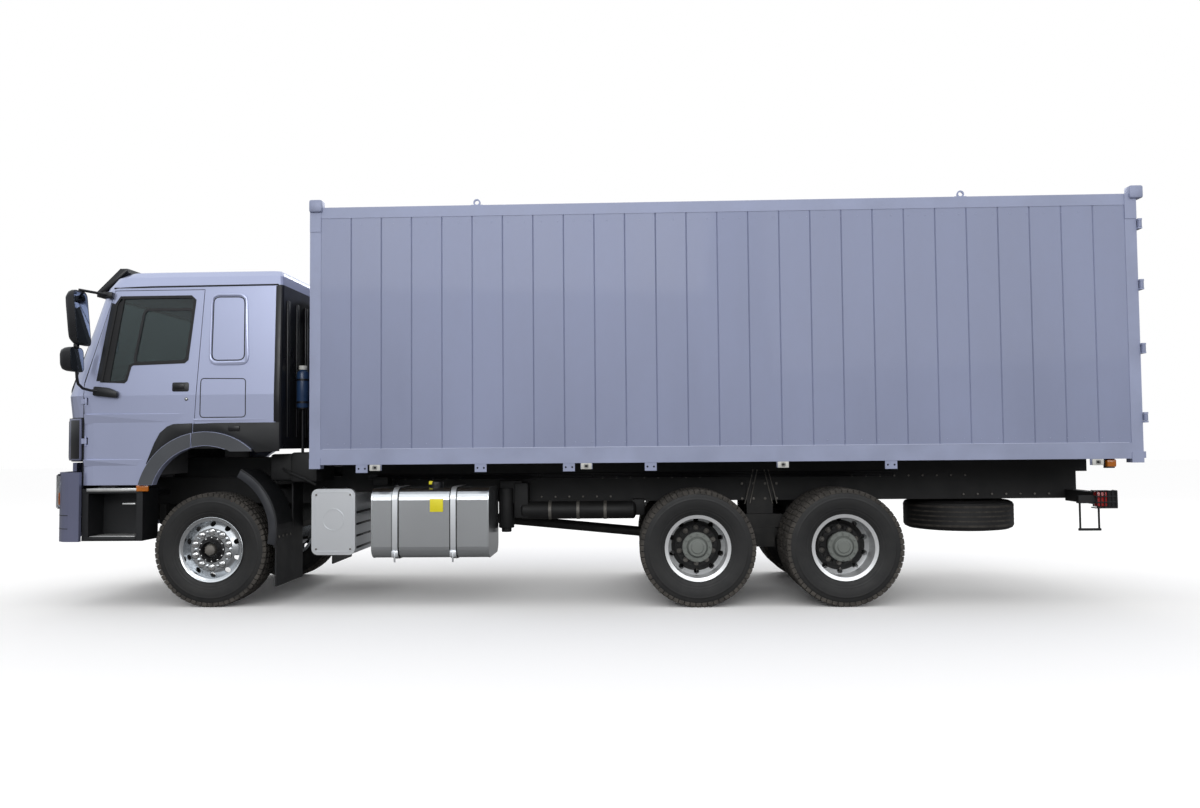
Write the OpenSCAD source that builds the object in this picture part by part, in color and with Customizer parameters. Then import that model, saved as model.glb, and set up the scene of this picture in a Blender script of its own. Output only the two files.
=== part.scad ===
// Three-axle box truck: tilting sleeper cab, ladder frame and a long plain
// box body with two rear doors. The truck faces -X and stands on Z = 0.
// Stations are measured along X from the front axle, heights from the ground.

/* [Overall] */
// Front axle to first rear axle
wheelbase = 4600; // [4200:50:5600]
// First rear axle to second rear axle
tandem_pitch = 1350; // [1300:10:1500]
// Front axle to the foremost point of the headlamps
front_overhang = 1605; // [1580:5:1700]
// Second rear axle to the face of the rear buffers
rear_overhang = 2750; // [2300:10:3300]

/* [Wheels] */
// Outer diameter of every tyre
tyre_d = 1080; // [1000:5:1100]
// Width of every tyre
tyre_w = 300; // [260:5:310]
// Bead seat diameter of the rims
rim_d = 572; // [500:2:620]
// Distance between the two tyres of a twin wheel
dual_pitch = 350; // [330:5:380]
// Track of the front wheels
front_track = 2020; // [1980:10:2060]
// Track of the rear wheels, at the middle of the twins
rear_track = 1830; // [1800:10:1860]
// Pitch circle of the wheel studs
stud_pcd = 335; // [280:5:340]
// Wheel studs on each wheel
stud_count = 10; // [8:1:10]
// Distance between the king pins
kingpin_track = 1660; // [1600:10:1680]
// Radius of the king pins
kingpin_r = 25; // [20:1:30]
// Radius of the front wheel spindles
front_spindle_r = 35; // [30:1:45]
// Radius of the rear wheel spindles
rear_spindle_r = 50; // [40:1:60]

/* [Frame] */
// Width over the two frame rails
frame_w = 850; // [780:10:860]
// Height of a frame rail
rail_h = 266; // [240:2:300]
// Flange width of a frame rail
rail_w = 80; // [70:5:100]
// Plate thickness of a frame rail
rail_t = 12; // [8:1:16]
// Height of the top of the frame rails
frame_top = 1200; // [1180:5:1210]
// Radius of the hole in the rear towing eye
tow_eye_r = 26; // [20:1:35]

/* [Box body] */
// Width over the box body
box_w = 2500; // [2300:20:3000]
// Height of the roof of the box body
box_top = 3768; // [3400:4:4000]
// Height of the underside of the box sills
sill_bottom = 1336; // [1320:2:1350]
// Height of the box sills
sill_h = 144; // [120:2:180]
// Height of the top rails of the box
top_rail_h = 103; // [80:1:140]
// Width of the corner posts
post_w = 105; // [90:5:140]
// Thickness of the box walls
wall_t = 50; // [40:2:80]
// Thickness of the rear door leaves
leaf_t = 60; // [40:2:70]
// Number of planks along one side wall
plank_count = 26; // [20:1:32]
// Gap between cab and box body
cab_gap = 297; // [250:5:400]
// Bore radius of the lifting eyes on the roof
lift_eye_r = 20; // [14:1:25]
// Radius of the lashing holes in the sill tabs
tab_hole_r = 9; // [6:1:12]

/* [Cab] */
// Width of the cab
cab_w = 2400; // [2300:10:2440]
// Height of the cab roof
cab_top = 3225; // [3150:5:3400]
// Thickness of the cab panels and doors
cab_t = 45; // [35:1:60]
// Height of the cab floor underside
cab_floor_z = 1250; // [1230:5:1270]
// Station of the cab back wall
cab_back = 680; // [660:5:720]
// Height of the windscreen's lower edge
screen_base_z = 2010; // [1980:5:2060]
// Gap around each cab panel that opens
panel_gap = 6; // [5:0.5:8]

/* [Tanks] */
// Length of the fuel tank
fuel_len = 1109; // [800:5:1300]
// Height of the fuel tank
fuel_h = 655; // [500:5:680]
// Length of the battery box
battery_len = 413; // [350:5:450]

/* [Hidden] */
$fn = 48;
EPS = 0.01;

// Finishes
PAINT = [0.55, 0.57, 0.70];
DARK = [0.16, 0.17, 0.19];
BLACK = [0.08, 0.08, 0.09];
STEEL = [0.72, 0.73, 0.75];
RUBBER = [0.10, 0.10, 0.10];
GLASS = [0.45, 0.60, 0.58, 0.5];
LAMP = [0.85, 0.86, 0.88];

// Stations
overall_len = front_overhang + wheelbase + tandem_pitch + rear_overhang;
front_axle_x = front_overhang - overall_len / 2;
axle_x = [wheelbase, wheelbase + tandem_pitch];
bogie_x = wheelbase + tandem_pitch / 2;
tail_x = axle_x[1] + rear_overhang;
hub_z = tyre_d / 2;

// Frame
rail_out = frame_w / 2;
rail_in = rail_out - rail_w;
rail_bottom = frame_top - rail_h;
rail_front = -1350;
rail_rear = tail_x - 290;
crossmember_r = 55;
crossmember_z = frame_top - rail_h / 2;
gearbox_rear = 1250;
spare_x = axle_x[1] + 1430;
tow_plate_t = 40;
tow_plate_z = 960;

// Box body
box_front = cab_back + cab_gap;
buffer_t = 52;
box_rear = tail_x - buffer_t;
box_y = box_w / 2;
floor_top = sill_bottom + sill_h;
floor_plate_t = 30;
header_z = box_top - top_rail_h;
casting_drop = 36;
rail_y = box_y - post_w;
bore_clear = 0.05;
seat_gap = 0.3;

// Cab
pivot_x = -1450;
pivot_z = 1080;
pivot_r = 20;
cab_y = cab_w / 2;
cab_low_z = 1160;
front_low_z = 1405;
roof_seam = cab_top - 165;
cab_side_low = 1490;
door_front = -1216;
door_rear = -160;
door_top = roof_seam - 42;
screen_top_z = roof_seam - 75;
arch_x = -25;
arch_z = 1000;
arch_in_r = 525;
arch_out_r = 660;
front_face = -1565;
platform_z = 1500;
tunnel_y = 480;

// Placing helpers
module on_truck() {
  translate([front_axle_x, 0, 0]) children();
}
module both_sides() {
  children();
  mirror([0, 1, 0]) children();
}
// Left side pieces lie at negative Y, right side pieces are their mirror
module on_side(side) {
  if (side < 0) children();
  else mirror([0, 1, 0]) children();
}
module block(x, y, z) {
  translate([x[0], y[0], z[0]]) cube([x[1] - x[0], y[1] - y[0], z[1] - z[0]]);
}
module y_rod(r, y, at) {
  translate([at[0], y[0], at[1]]) rotate([-90, 0, 0]) cylinder(r = r, h = y[1] - y[0]);
}
module x_rod(r, x, at) {
  translate([x[0], at[0], at[1]]) rotate([0, 90, 0]) cylinder(r = r, h = x[1] - x[0]);
}
module z_rod(r, z, at) {
  translate([at[0], at[1], z[0]]) cylinder(r = r, h = z[1] - z[0]);
}
// An outline in X and Z, given its thickness along Y
module side_plate(y, outline) {
  translate([0, y[1], 0]) rotate([90, 0, 0]) linear_extrude(y[1] - y[0]) polygon(outline);
}
function arc(cx, cy, r, a0, a1, n) =
  [for (i = [0:n]) let (a = a0 + (a1 - a0) * i / n) [cx + r * cos(a), cy + r * sin(a)]];
function rounded(x, y, r, n = 4) = concat(
  arc(x[0] + r, y[0] + r, r, 180, 270, n), arc(x[1] - r, y[0] + r, r, 270, 360, n),
  arc(x[1] - r, y[1] - r, r, 0, 90, n), arc(x[0] + r, y[1] - r, r, 90, 180, n));

// ---------------------------------------------------------------- chassis
module rail() {
  difference() {
    block([rail_front, rail_rear], [-rail_out, -rail_in], [rail_bottom, frame_top]);
    block([rail_front - 1, rail_rear + 1], [rail_t - rail_out, 1 - rail_in],
          [rail_bottom + rail_t, frame_top - rail_t]);
  }
}
module pivot_horn() {
  horn = [[rail_front, rail_bottom], [rail_front, frame_top], [pivot_x + 30, pivot_z + 40],
          [pivot_x - 30, pivot_z + 40], [pivot_x - 40, pivot_z - 40], [pivot_x + 20, rail_bottom]];
  side_plate([-rail_out, -rail_in], horn);
  y_rod(pivot_r, [-rail_out - 60, -rail_out + 1], [pivot_x, pivot_z]);
}
beam_z = [700, 850];
beam_x = [-1440, -1350];
module bumper_beam() {
  block(beam_x, [-1080, 1080], beam_z);
  both_sides() block([beam_x[0], rail_front + 200], [-rail_out, -rail_in], [beam_z[1] - 1,
      rail_bottom + 1]);
  both_sides() block([front_face + 40, beam_x[0] + 1], [-720, -640], beam_z);
}
crossmember_x = [rail_front + 60, gearbox_rear + 150, axle_x[0] - 1000, bogie_x, axle_x[1] + 700,
    rail_rear - 80];
module chassis_frame() {
  color(BLACK) on_truck() difference() {
    union() {
      both_sides() rail();
      both_sides() pivot_horn();
      bumper_beam();
      for (x = crossmember_x)
        y_rod(crossmember_r, [1 - rail_out, rail_out - 1], [x, crossmember_z]);
      // Longitudinal runners under the box body
      both_sides() block([box_front + 60, box_rear - 130], [-rail_out, -rail_in], [frame_top - EPS,
          sill_bottom]);
      // Tail member with its towing plate
      block([rail_rear - 30, rail_rear], [-rail_in - 1, rail_in + 1], [rail_bottom, frame_top]);
      block([rail_rear - 1, rail_rear + 130], [-90, 90], [tow_plate_z, tow_plate_z + tow_plate_t]);
      // Spare wheel carrier
      block([spare_x - 40, spare_x + 40], [1 - rail_out, rail_out - 1], [rail_bottom + 20,
          rail_bottom + 80]);
      z_rod(40, [spare_disc_z, rail_bottom + 30], [spare_x, 0]);
    }
    z_rod(tow_eye_r, [tow_plate_z - 1, tow_plate_z + tow_plate_t + 1], [rail_rear + 75, 0]);
  }
}

// Front suspension and steering
spring_y = [rail_out - 40, rail_out + 50];
pad_z = hub_z + 70;
axle_top = hub_z - 10;
kp_y = kingpin_track / 2;
eye_h = 120;
eye_r = 48;
module front_axle() {
  color(BLACK) on_truck() difference() {
    union() {
      block([-55, 55], [-spring_y[1] - 40, spring_y[1] + 40], [axle_top - 110, axle_top]);
      both_sides() {
        block([-70, 70], [-spring_y[1], -spring_y[0]], [axle_top - 20, pad_z]);
        block([-45, 45], [-kp_y, -spring_y[1] - 39], [hub_z - 50, hub_z + 50]);
        z_rod(eye_r, [hub_z - eye_h / 2, hub_z + eye_h / 2], [0, -kp_y]);
      }
    }
    both_sides() z_rod(kingpin_r + bore_clear, [0, tyre_d], [0, -kp_y]);
  }
}
hub_inner_y = front_track / 2 - 90;
hub_outer_y = front_track / 2 + 100;
module knuckle(side) {
  lug_t = 30;
  color(DARK) on_truck() on_side(side) {
    for (s = [-1, 1])
      translate([0, 0, hub_z + s * (eye_h / 2 + seat_gap + lug_t / 2) - lug_t / 2])
        translate([0, -kp_y, 0]) cylinder(r = eye_r, h = lug_t);
    z_rod(kingpin_r, [hub_z - eye_h / 2 - lug_t, hub_z + eye_h / 2 + lug_t], [0, -kp_y]);
    difference() {
      block([-eye_r, eye_r], [-hub_inner_y + 6, -kp_y], [hub_z - eye_h / 2 - lug_t,
          hub_z + eye_h / 2 + lug_t]);
      block([-eye_r - 1, eye_r + 1], [-kp_y - eye_r - 4, -kp_y + 1], [hub_z - eye_h / 2 - seat_gap,
          hub_z + eye_h / 2 + seat_gap]);
    }
    y_rod(front_spindle_r, [-hub_outer_y + 4, -hub_inner_y + 10], [0, hub_z]);
    // Steering arm
    block([20, 260], [-kp_y + 20, -kp_y + 60], [hub_z - eye_h / 2 - lug_t, hub_z - eye_h / 2 - 2]);
    block([-20, 60], [-kp_y - eye_r, -kp_y + 60], [hub_z - eye_h / 2 - lug_t, hub_z - eye_h / 2 - 2]);
  }
}

// Rear suspension
rear_hub_y = [rear_track / 2 - 245, rear_track / 2 + 250];
pack_y = [rail_out + 20, rail_out + 100];
module rear_axle() {
  y_rod(75, [-rear_hub_y[0] + 12, rear_hub_y[0] - 12], [0, hub_z]);
  translate([0, 0, hub_z]) rotate([90, 0, 0])
    rotate_extrude() polygon([[0, -150], [110, -150], [case_r, -70], [case_r, 70], [110, 150], [0, 150]]);
  both_sides() {
    y_rod(rear_spindle_r, [-rear_hub_y[1] + 30, -rear_hub_y[0] + 20], [0, hub_z]);
    block([-70, 70], [-pack_y[1], -pack_y[0]], [hub_z, pack_z]);
  }
}
pack_z = hub_z + 130;
module rear_axles() {
  color(BLACK) on_truck() for (x = axle_x) translate([x, 0, 0]) rear_axle();
}
// A leaf pack, thick at the axle and thin at its end eyes
spring_half = 800;
spring_end_r = 34;
function spring_side(s) = [[s * 70, pad_z], [s * 600, pad_z + 70], [s * spring_half, pad_z + 130],
  [s * (spring_half + 15), pad_z + 165], [s * (spring_half - 20), pad_z + 165], [s * 560, pad_z + 120],
  [s * 150, pad_z + 110]];
module front_spring() {
  left = spring_side(-1);
  y = [-spring_y[1], -spring_y[0]];
  side_plate(y, concat(spring_side(1), [for (i = [len(left) - 1:-1:0]) left[i]]));
  for (x = [-spring_half, spring_half]) {
    y_rod(spring_end_r, y, [x, pad_z + 148]);
    block([x - spring_end_r, x + spring_end_r], y, [pad_z + 148, rail_bottom]);
  }
}
module rear_pack() {
  ends = [bogie_x - tandem_pitch / 2 - 60, bogie_x + tandem_pitch / 2 + 60];
  clamp = [bogie_x - 200, bogie_x + 200];
  saddle = [bogie_x - 130, bogie_x + 130];
  outer = -pack_y[1] - 15;
  side_plate([-pack_y[1], -pack_y[0]], [
    [ends[0], pack_z], [ends[1], pack_z], [ends[1], pack_z + 25],
    [clamp[1], pack_z + 130], [clamp[0], pack_z + 130], [ends[0], pack_z + 25]]);
  // Trunnion bracket down from the rail
  block(saddle, [outer, -rail_out], [hub_z - 60, pack_z + EPS]);
  block(saddle, [-pack_y[0] + 5, -rail_out], [hub_z, frame_top - 60]);
  y_rod(60, [outer, -rail_out], [bogie_x, hub_z + 10]);
}
module leaf_springs() {
  color(DARK) on_truck() {
    both_sides() front_spring();
    both_sides() rear_pack();
  }
}

// Driveline
engine_x = [-850, 350];
engine_z = [640, 1400];
engine_half = 300;
gearbox_half = 190;
gearbox_z = [700, 1120];
mount_x = [-600, 150];
mount_z = [1000, 1090];
radiator_x = [-1130, -1050];
radiator_z = [760, 1390];
radiator_half = 330;
module engine_block() {
  color(STEEL) on_truck() {
    block(engine_x, [-engine_half, engine_half], engine_z);
    block([engine_x[1] - EPS, gearbox_rear], [-gearbox_half, gearbox_half], gearbox_z);
    for (x = mount_x) block([x, x + 90], [-rail_out + rail_t, rail_out - rail_t], mount_z);
    block(radiator_x, [-radiator_half, radiator_half], radiator_z);
    // Fan shaft
    block([radiator_x[1] - 1, engine_x[0] + 1], [-60, 60], [1000, 1060]);
  }
}
shaft_r = 50;
module shaft(from, to) {
  run = [to[0] - from[0], to[1] - from[1]];
  translate([from[0], 0, from[1]]) rotate([0, 90 + atan2(-run[1], run[0]), 0])
    cylinder(r = shaft_r, h = norm(run));
}
case_r = 200;
flange_r = shaft_r + 16;
gearbox_out_z = 860;
pinion_z = hub_z + 20;
module propshaft() {
  case_front = axle_x[0] - case_r;
  color(DARK) on_truck() {
    x_rod(flange_r, [gearbox_rear + seat_gap, gearbox_rear + 30], [0, gearbox_out_z]);
    shaft([gearbox_rear + 20, gearbox_out_z], [case_front - 20, pinion_z]);
    x_rod(flange_r, [case_front - 30, case_front - seat_gap], [0, pinion_z]);
    x_rod(shaft_r, [axle_x[0] + case_r + seat_gap, axle_x[1] - case_r - seat_gap], [0, hub_z]);
  }
}

// Tanks and boxes on the rails
fuel_x = box_front + 571;
fuel_y = [560, 1200];
fuel_z = [rail_bottom + 175 - fuel_h, rail_bottom + 175];
module tank_bracket(x, z) {
  block([x - 30, x + 30], [-fuel_y[0] - 20, -rail_out], [z[0], z[1]]);
}
module fuel_tank() {
  color(STEEL) on_truck() {
    translate([fuel_x, 0, 0]) rotate([90, 0, 90]) linear_extrude(fuel_len)
      polygon(rounded([-fuel_y[1], -fuel_y[0]], fuel_z, 110, 6));
    for (x = [fuel_x + fuel_len * 0.2, fuel_x + fuel_len * 0.7]) {
      tank_bracket(x, [rail_bottom + 30, rail_bottom + 130]);
      translate([x - 25, 0, 0]) rotate([90, 0, 90]) linear_extrude(50)
        polygon(rounded([-fuel_y[1] - 6, -fuel_y[0]], fuel_z + [-6, 6], 115, 6));
    }
    z_rod(60, [fuel_z[1] - 10, fuel_z[1] + 34], [fuel_x + fuel_len * 0.52, -fuel_y[1] + 190]);
  }
}
battery_x = box_front + 7;
battery_z = [493, 1110];
module battery_box() {
  color(LAMP) on_truck() {
    translate([0, -fuel_y[1] + 40, 0]) rotate([90, 0, 0]) linear_extrude(40)
      polygon(rounded([battery_x, battery_x + battery_len], battery_z, 60, 6));
    block([battery_x + 12, battery_x + battery_len - 12], [-fuel_y[1] + 39, -fuel_y[0] - 40],
        battery_z + [15, -60]);
    block([battery_x + 60, battery_x + 120], [-fuel_y[0] - 41, -rail_out], [rail_bottom + 20,
        rail_bottom + 90]);
    block([battery_x + 280, battery_x + 340], [-fuel_y[0] - 41, -rail_out], [rail_bottom + 20,
        rail_bottom + 90]);
  }
}
air_tank_r = 88;
air_tank_y = rail_out + 110;
air_tank_x = [fuel_x + fuel_len + 250, axle_x[0] - tyre_d / 2 - 53];
module air_tanks() {
  color(BLACK) on_truck() both_sides() {
    x_rod(air_tank_r, air_tank_x, [-air_tank_y, rail_bottom - 80]);
    for (x = [air_tank_x[0] + 250, air_tank_x[1] - 300])
      block([x, x + 40], [-air_tank_y, -rail_in - 4], [rail_bottom - 60, rail_bottom]);
  }
}
module silencer() {
  color(STEEL) on_truck() {
    translate([battery_x, 0, 0]) rotate([90, 0, 90]) linear_extrude(560)
      polygon(rounded([560, 1150], [520, 1060], 90, 6));
    for (x = [battery_x + 100, battery_x + 400])
      block([x, x + 50], [rail_out, 570], [rail_bottom + 20, rail_bottom + 90]);
    x_rod(60, [battery_x + 559, battery_x + 760], [820, 640]);
  }
}

// Wheels: profiles are turned about the wheel axis, across is along the axle
bead_r = rim_d / 2;
rim_half = tyre_w / 2 - 30;
module tyre_profile() {
  r = tyre_d / 2;
  w = tyre_w / 2;
  wall = 22;
  deep = r - bead_r;
  low = bead_r + deep * 0.12;
  belly = [bead_r + deep * 0.35, r - deep * 0.43];
  shoulder = [r - deep * 0.18, r - deep * 0.05];
  cavity = r - wall * 2;
  foot = rim_half - 14;
  difference() {
    polygon([
      [bead_r + seat_gap, foot], [low, foot + 10], [belly[0], w - 2], [belly[1], w],
      [shoulder[0], w - 8], [shoulder[1], w - 24], [r, w - 50],
      [r, 50 - w], [shoulder[1], 24 - w], [shoulder[0], 8 - w], [belly[1], -w],
      [belly[0], 2 - w], [low, -foot - 10], [bead_r + seat_gap, -foot]]);
    polygon([
      [bead_r - 1, foot - wall * 1.5], [low + 10, foot + 6 - wall], [belly[0], w - wall],
      [belly[1], w - wall], [cavity, w - wall * 2],
      [cavity, wall * 2 - w], [belly[1], wall - w], [belly[0], wall - w],
      [low + 10, wall - 6 - foot], [bead_r - 1, wall * 1.5 - foot]]);
  }
}
module turned(y) {
  translate([0, y, hub_z]) rotate([90, 0, 0]) rotate_extrude($fn = 72) children();
}
// Barrel, flanges and disc; the disc lies at plus disc_at along the profile
module rim_profile(disc_at) {
  polygon([
    [bead_r - 12, -rim_half], [bead_r + 20, -rim_half - 8], [bead_r + 20, -rim_half + 2], [bead_r,
        -rim_half + 10],
    [bead_r, rim_half - 10], [bead_r + 20, rim_half - 2], [bead_r + 20, rim_half + 8], [bead_r - 12,
    rim_half]]);
  polygon([
    [hub_bore_r, disc_at], [stud_pcd / 2 + 32, disc_at], [bead_r - 10, disc_at - sign(disc_at) * 45],
    [bead_r - 10, disc_at - sign(disc_at) * 60], [stud_pcd / 2 + 30, disc_at - sign(disc_at) * 14],
    [hub_bore_r, disc_at - sign(disc_at) * 14]]);
}
hub_bore_r = 120;
hand_hole_r = 26;
module hand_holes(y) {
  hole_at = (stud_pcd / 2 + bead_r) / 2 + 15;
  for (i = [0:stud_count - 1]) translate([0, 0, hub_z]) rotate([0, (i + 0.5) * 360 / stud_count, 0])
    y_rod(hand_hole_r, y, [hole_at, 0]);
}
front_disc = rim_half - 12;
module front_tyre(side) {
  color(RUBBER) on_truck() on_side(side) turned(-front_track / 2) tyre_profile();
}
module front_rim(side) {
  y = front_track / 2;
  color(STEEL) on_truck() on_side(side) difference() {
    union() {
      turned(-y) rim_profile(front_disc);
      // Hub and brake drum
      turned(-y) polygon([[front_spindle_r + bore_clear, -70], [150, -70], [150, front_disc - 13],
        [hub_bore_r + 5, front_disc - 13], [hub_bore_r + 1, front_disc + 4], [100,
        front_disc + 10], [78, front_disc + 60],
        [64, hub_outer_y - y + 10], [0, hub_outer_y - y + 10], [0, hub_outer_y - y],
        [front_spindle_r + bore_clear, hub_outer_y - y]]);
      for (i = [0:stud_count - 1]) translate([0, 0, hub_z]) rotate([0, i * 360 / stud_count, 0])
        y_rod(15, [-y - front_disc - 26, -y - front_disc + 5], [stud_pcd / 2, 0]);
    }
    hand_holes([-y - front_disc - 10, -y - front_disc + 90]);
  }
}
module rear_tyres(n, side) {
  color(RUBBER) on_truck() translate([axle_x[n - 1], 0, 0]) on_side(side)
    for (s = [-1, 1]) turned(-rear_track / 2 + s * dual_pitch / 2) tyre_profile();
}
module rear_rims(n, side) {
  y = rear_track / 2;
  disc = dual_pitch / 2;
  color(STEEL) on_truck() translate([axle_x[n - 1], 0, 0]) on_side(side) difference() {
    union() {
      turned(-y - disc) rim_profile(-disc);
      turned(-y + disc) rim_profile(disc);
      // Hub, drum and hub cap
      turned(-y) polygon([[rear_spindle_r + bore_clear, rear_hub_y[0] - y], [208, rear_hub_y[0] - y],
          [208, -90],
        [150, -50], [hub_bore_r + 2, -16], [hub_bore_r + 2, 60], [118, 66], [118, 190], [95, 205], [80,
        236], [0, 240],
        [0, 222], [rear_spindle_r + bore_clear, 222]]);
      for (i = [0:stud_count - 1]) translate([0, 0, hub_z]) rotate([0, i * 360 / stud_count, 0])
        y_rod(15, [-y - 50, -y + 5], [stud_pcd / 2, 0]);
    }
    hand_holes([-y - 110, -y + 110]);
  }
}
spare_z = 610 + tyre_w / 2;
spare_disc_z = spare_z + rim_half - 20;
module spare_wheel() {
  color(RUBBER) on_truck() translate([spare_x, 0, spare_z]) rotate_extrude($fn = 72) {
    tyre_profile();
    polygon([[bead_r - 12, -rim_half], [bead_r + 1, -rim_half + 10], [bead_r + 1, rim_half - 10],
        [bead_r - 12, rim_half]]);
    polygon([[60, rim_half - 34], [bead_r - 10, rim_half - 34], [bead_r - 10, rim_half - 20], [60,
        rim_half - 20]]);
    polygon([[0, rim_half - 34], [61, rim_half - 34], [61, rim_half - 20], [0, rim_half - 20]]);
  }
}

// Rear lamps, steps, bumper and guards
lamp_bar_z = [890, 1040];
module rear_lamp_bars() {
  color(BLACK) on_truck() both_sides() {
    block([rail_rear - 110, rail_rear], [-box_y + 60, -rail_out], lamp_bar_z + [20, -20]);
    block([rail_rear - 120, rail_rear + 15], [-box_y + 45, -box_y + 240], lamp_bar_z);
    block([rail_rear - 330, rail_rear - 119], [-box_y + 60, -box_y + 110], lamp_bar_z + [40, -40]);
    // Stirrup step
    for (x = [rail_rear - 310, rail_rear - 140]) z_rod(9, [690, lamp_bar_z[0] + 45], [x, -box_y + 85]);
    x_rod(12, [rail_rear - 325, rail_rear - 125], [-box_y + 85, 690]);
  }
}
bumper_z = [630, 1285];
bumper_mid_z = 1370;
bumper_mid_y = 780;
bumper_y = 1245;
bumper_t = 40;
bumper_back = -1222;
sweep_y = 750;
sweep_x = front_face + 240;
// Swept corner in plan on the left side, from the flat front to the wing, grown outwards
function sweep(grow, a0 = 0, a1 = 90, n = 10) = [for (i = [0:n]) let (a = a0 + (a1 - a0) * i / n)
  [sweep_x - (sweep_x - front_face + grow) * cos(a), -sweep_y - (bumper_y - sweep_y + grow) * sin(a)]];
function backwards(points) = [for (i = [len(points) - 1:-1:0]) points[i]];
function other_side(points) = [for (p = points) [p[0], -p[1]]];
function bumper_plan(grow, back) = concat([[back, -bumper_y - grow]], backwards(sweep(grow)),
  other_side(sweep(grow)), [[back, bumper_y + grow]]);
lamp_z = [950, 1258];
lamp_proud = 22;
lamp_a = [9, 56];
module lamp_outline(proud) {
  polygon(concat(sweep(proud, lamp_a[0], lamp_a[1], 8), backwards(sweep(4 - bumper_t, lamp_a[0], lamp_a[1], 8))));
}
module bumper_bar(z) {
  translate([0, 0, z[0]]) linear_extrude(z[1] - z[0]) difference() {
    polygon(bumper_plan(0, bumper_back));
    polygon(bumper_plan(-bumper_t, bumper_back + 1));
  }
}
module bumper() {
  color(PAINT) on_truck() difference() {
    union() {
      bumper_bar(bumper_z);
      intersection() {
        bumper_bar([bumper_z[1] - 1, bumper_mid_z]);
        block([front_face - 1, bumper_back], [-bumper_mid_y, bumper_mid_y], [0, bumper_mid_z + 1]);
      }
    }
    both_sides() translate([0, 0, lamp_z[0]]) linear_extrude(lamp_z[1] - lamp_z[0]) lamp_outline(lamp_proud);
    // Air slot between the lamps
    block([front_face - 1, front_face + bumper_t + 1], [-640, 640], lamp_z);
  }
}
module headlamps() {
  color(LAMP) on_truck() both_sides()
    translate([0, 0, lamp_z[0]]) linear_extrude(lamp_z[1] - lamp_z[0]) lamp_outline(lamp_proud);
}
step_x = [bumper_back + 2, -635];
module steps() {
  color(DARK) on_truck() both_sides() {
    block(step_x, [-1200, -900], [1085, 1125]);
    block(step_x, [-1200, -900], [633, 673]);
    block([step_x[1] - 60, step_x[1]], [-1195, -905], [672, 1086]);
    block([step_x[0], step_x[0] + 60], [-1195, -905], [672, 1086]);
    block([step_x[0], step_x[1]], [-930, -900], [672, 1086]);
    block([-1100, -1040], [-901, -rail_out], [1040, 1084]);
    block([-820, -760], [-901, -rail_out], [1040, 1084]);
  }
}
guard_y = [760, 1200];
guard_r = 640;
flap_in_y = spring_y[1] + 15;
module mudguards() {
  color(DARK) on_truck() both_sides() {
    side_plate([-guard_y[1], -guard_y[0]], concat(
      arc(0, 720, guard_r + 12, -14, 62, 8), arc(0, 720, guard_r, 62, -14, 8)));
    block([guard_r - 2, guard_r + 12], [-guard_y[1], -flap_in_y], [200, 720]);
    block([guard_r - 2, guard_r + 12], [-guard_y[0] - 1, -flap_in_y], [719, 1180]);
    block([430, 500], [-guard_y[0] - 10, -rail_out], [1090, 1130]);
    side_plate([-guard_y[0] - 20, -guard_y[0]], [[430, 1090], [500, 1090], [500, 1210], [430, 1200]]);
  }
}

// --------------------------------------------------------------- box body
end_rail_w = 90;
casting_h = 231;
casting_proud = 6;
hinge_x = box_rear + 20;
hinge_y = box_y + 14;
hinge_r = 11;
hinge_z = [floor_top + 230, floor_top + 860, header_z - 740, header_z - 180];
leaf_gap = 6;
lug_h = 60;
module corner_post(x) {
  block(x, [-box_y, -rail_y], [sill_bottom - casting_drop, box_top]);
  for (z = [[box_top - casting_h, box_top + EPS], [sill_bottom - casting_drop, sill_bottom + 60]])
    block(x, [-box_y - casting_proud, -rail_y], z);
}
tab_t = 12;
module sill_tab(x, drop, holes) {
  y = [-box_y + 4, -box_y + 4 + tab_t];
  difference() {
    block([x - 55, x + 55], y, [sill_bottom - drop, sill_bottom + EPS]);
    for (s = holes) y_rod(tab_hole_r, y + [-1, 1], [x + s, sill_bottom - drop / 2]);
  }
}
tab_x = [box_front + 495, box_front + 1613, box_front + 2437, bogie_x - 1103, bogie_x + 1100];
plate_x = [box_front + 627, box_front + 2600, bogie_x + 112, box_rear - 423];
tab_drop = 76;
plate_drop = 56;
eye_x = [box_front + 1580, box_rear - 1574];
lift_eye_t = 16;
lift_eye_h = 34;
eye_y = box_y - 40;
module lifting_eye(x) {
  y = [-eye_y, -eye_y + lift_eye_t];
  difference() {
    union() {
      y_rod(lift_eye_r + 14, y, [x, box_top + lift_eye_h]);
      block([x - 55, x + 55], y, [box_top - EPS, box_top + 14]);
    }
    y_rod(lift_eye_r, y + [-1, 1], [x, box_top + lift_eye_h]);
    block([x - 90, x + 90], y + [-1, 1], [box_top - 40, box_top - EPS]);
  }
}
module rear_lug(z) {
  difference() {
    block([box_rear - EPS, hinge_x + 16], [-hinge_y - 16, -rail_y - 30], [z, z + 16]);
    z_rod(hinge_r + bore_clear, [z - 1, z + 17], [hinge_x, -hinge_y]);
    block([box_rear - 40, box_rear], [-box_y - casting_proud, -rail_y], [z - 1, z + 17]);
  }
}
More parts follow.
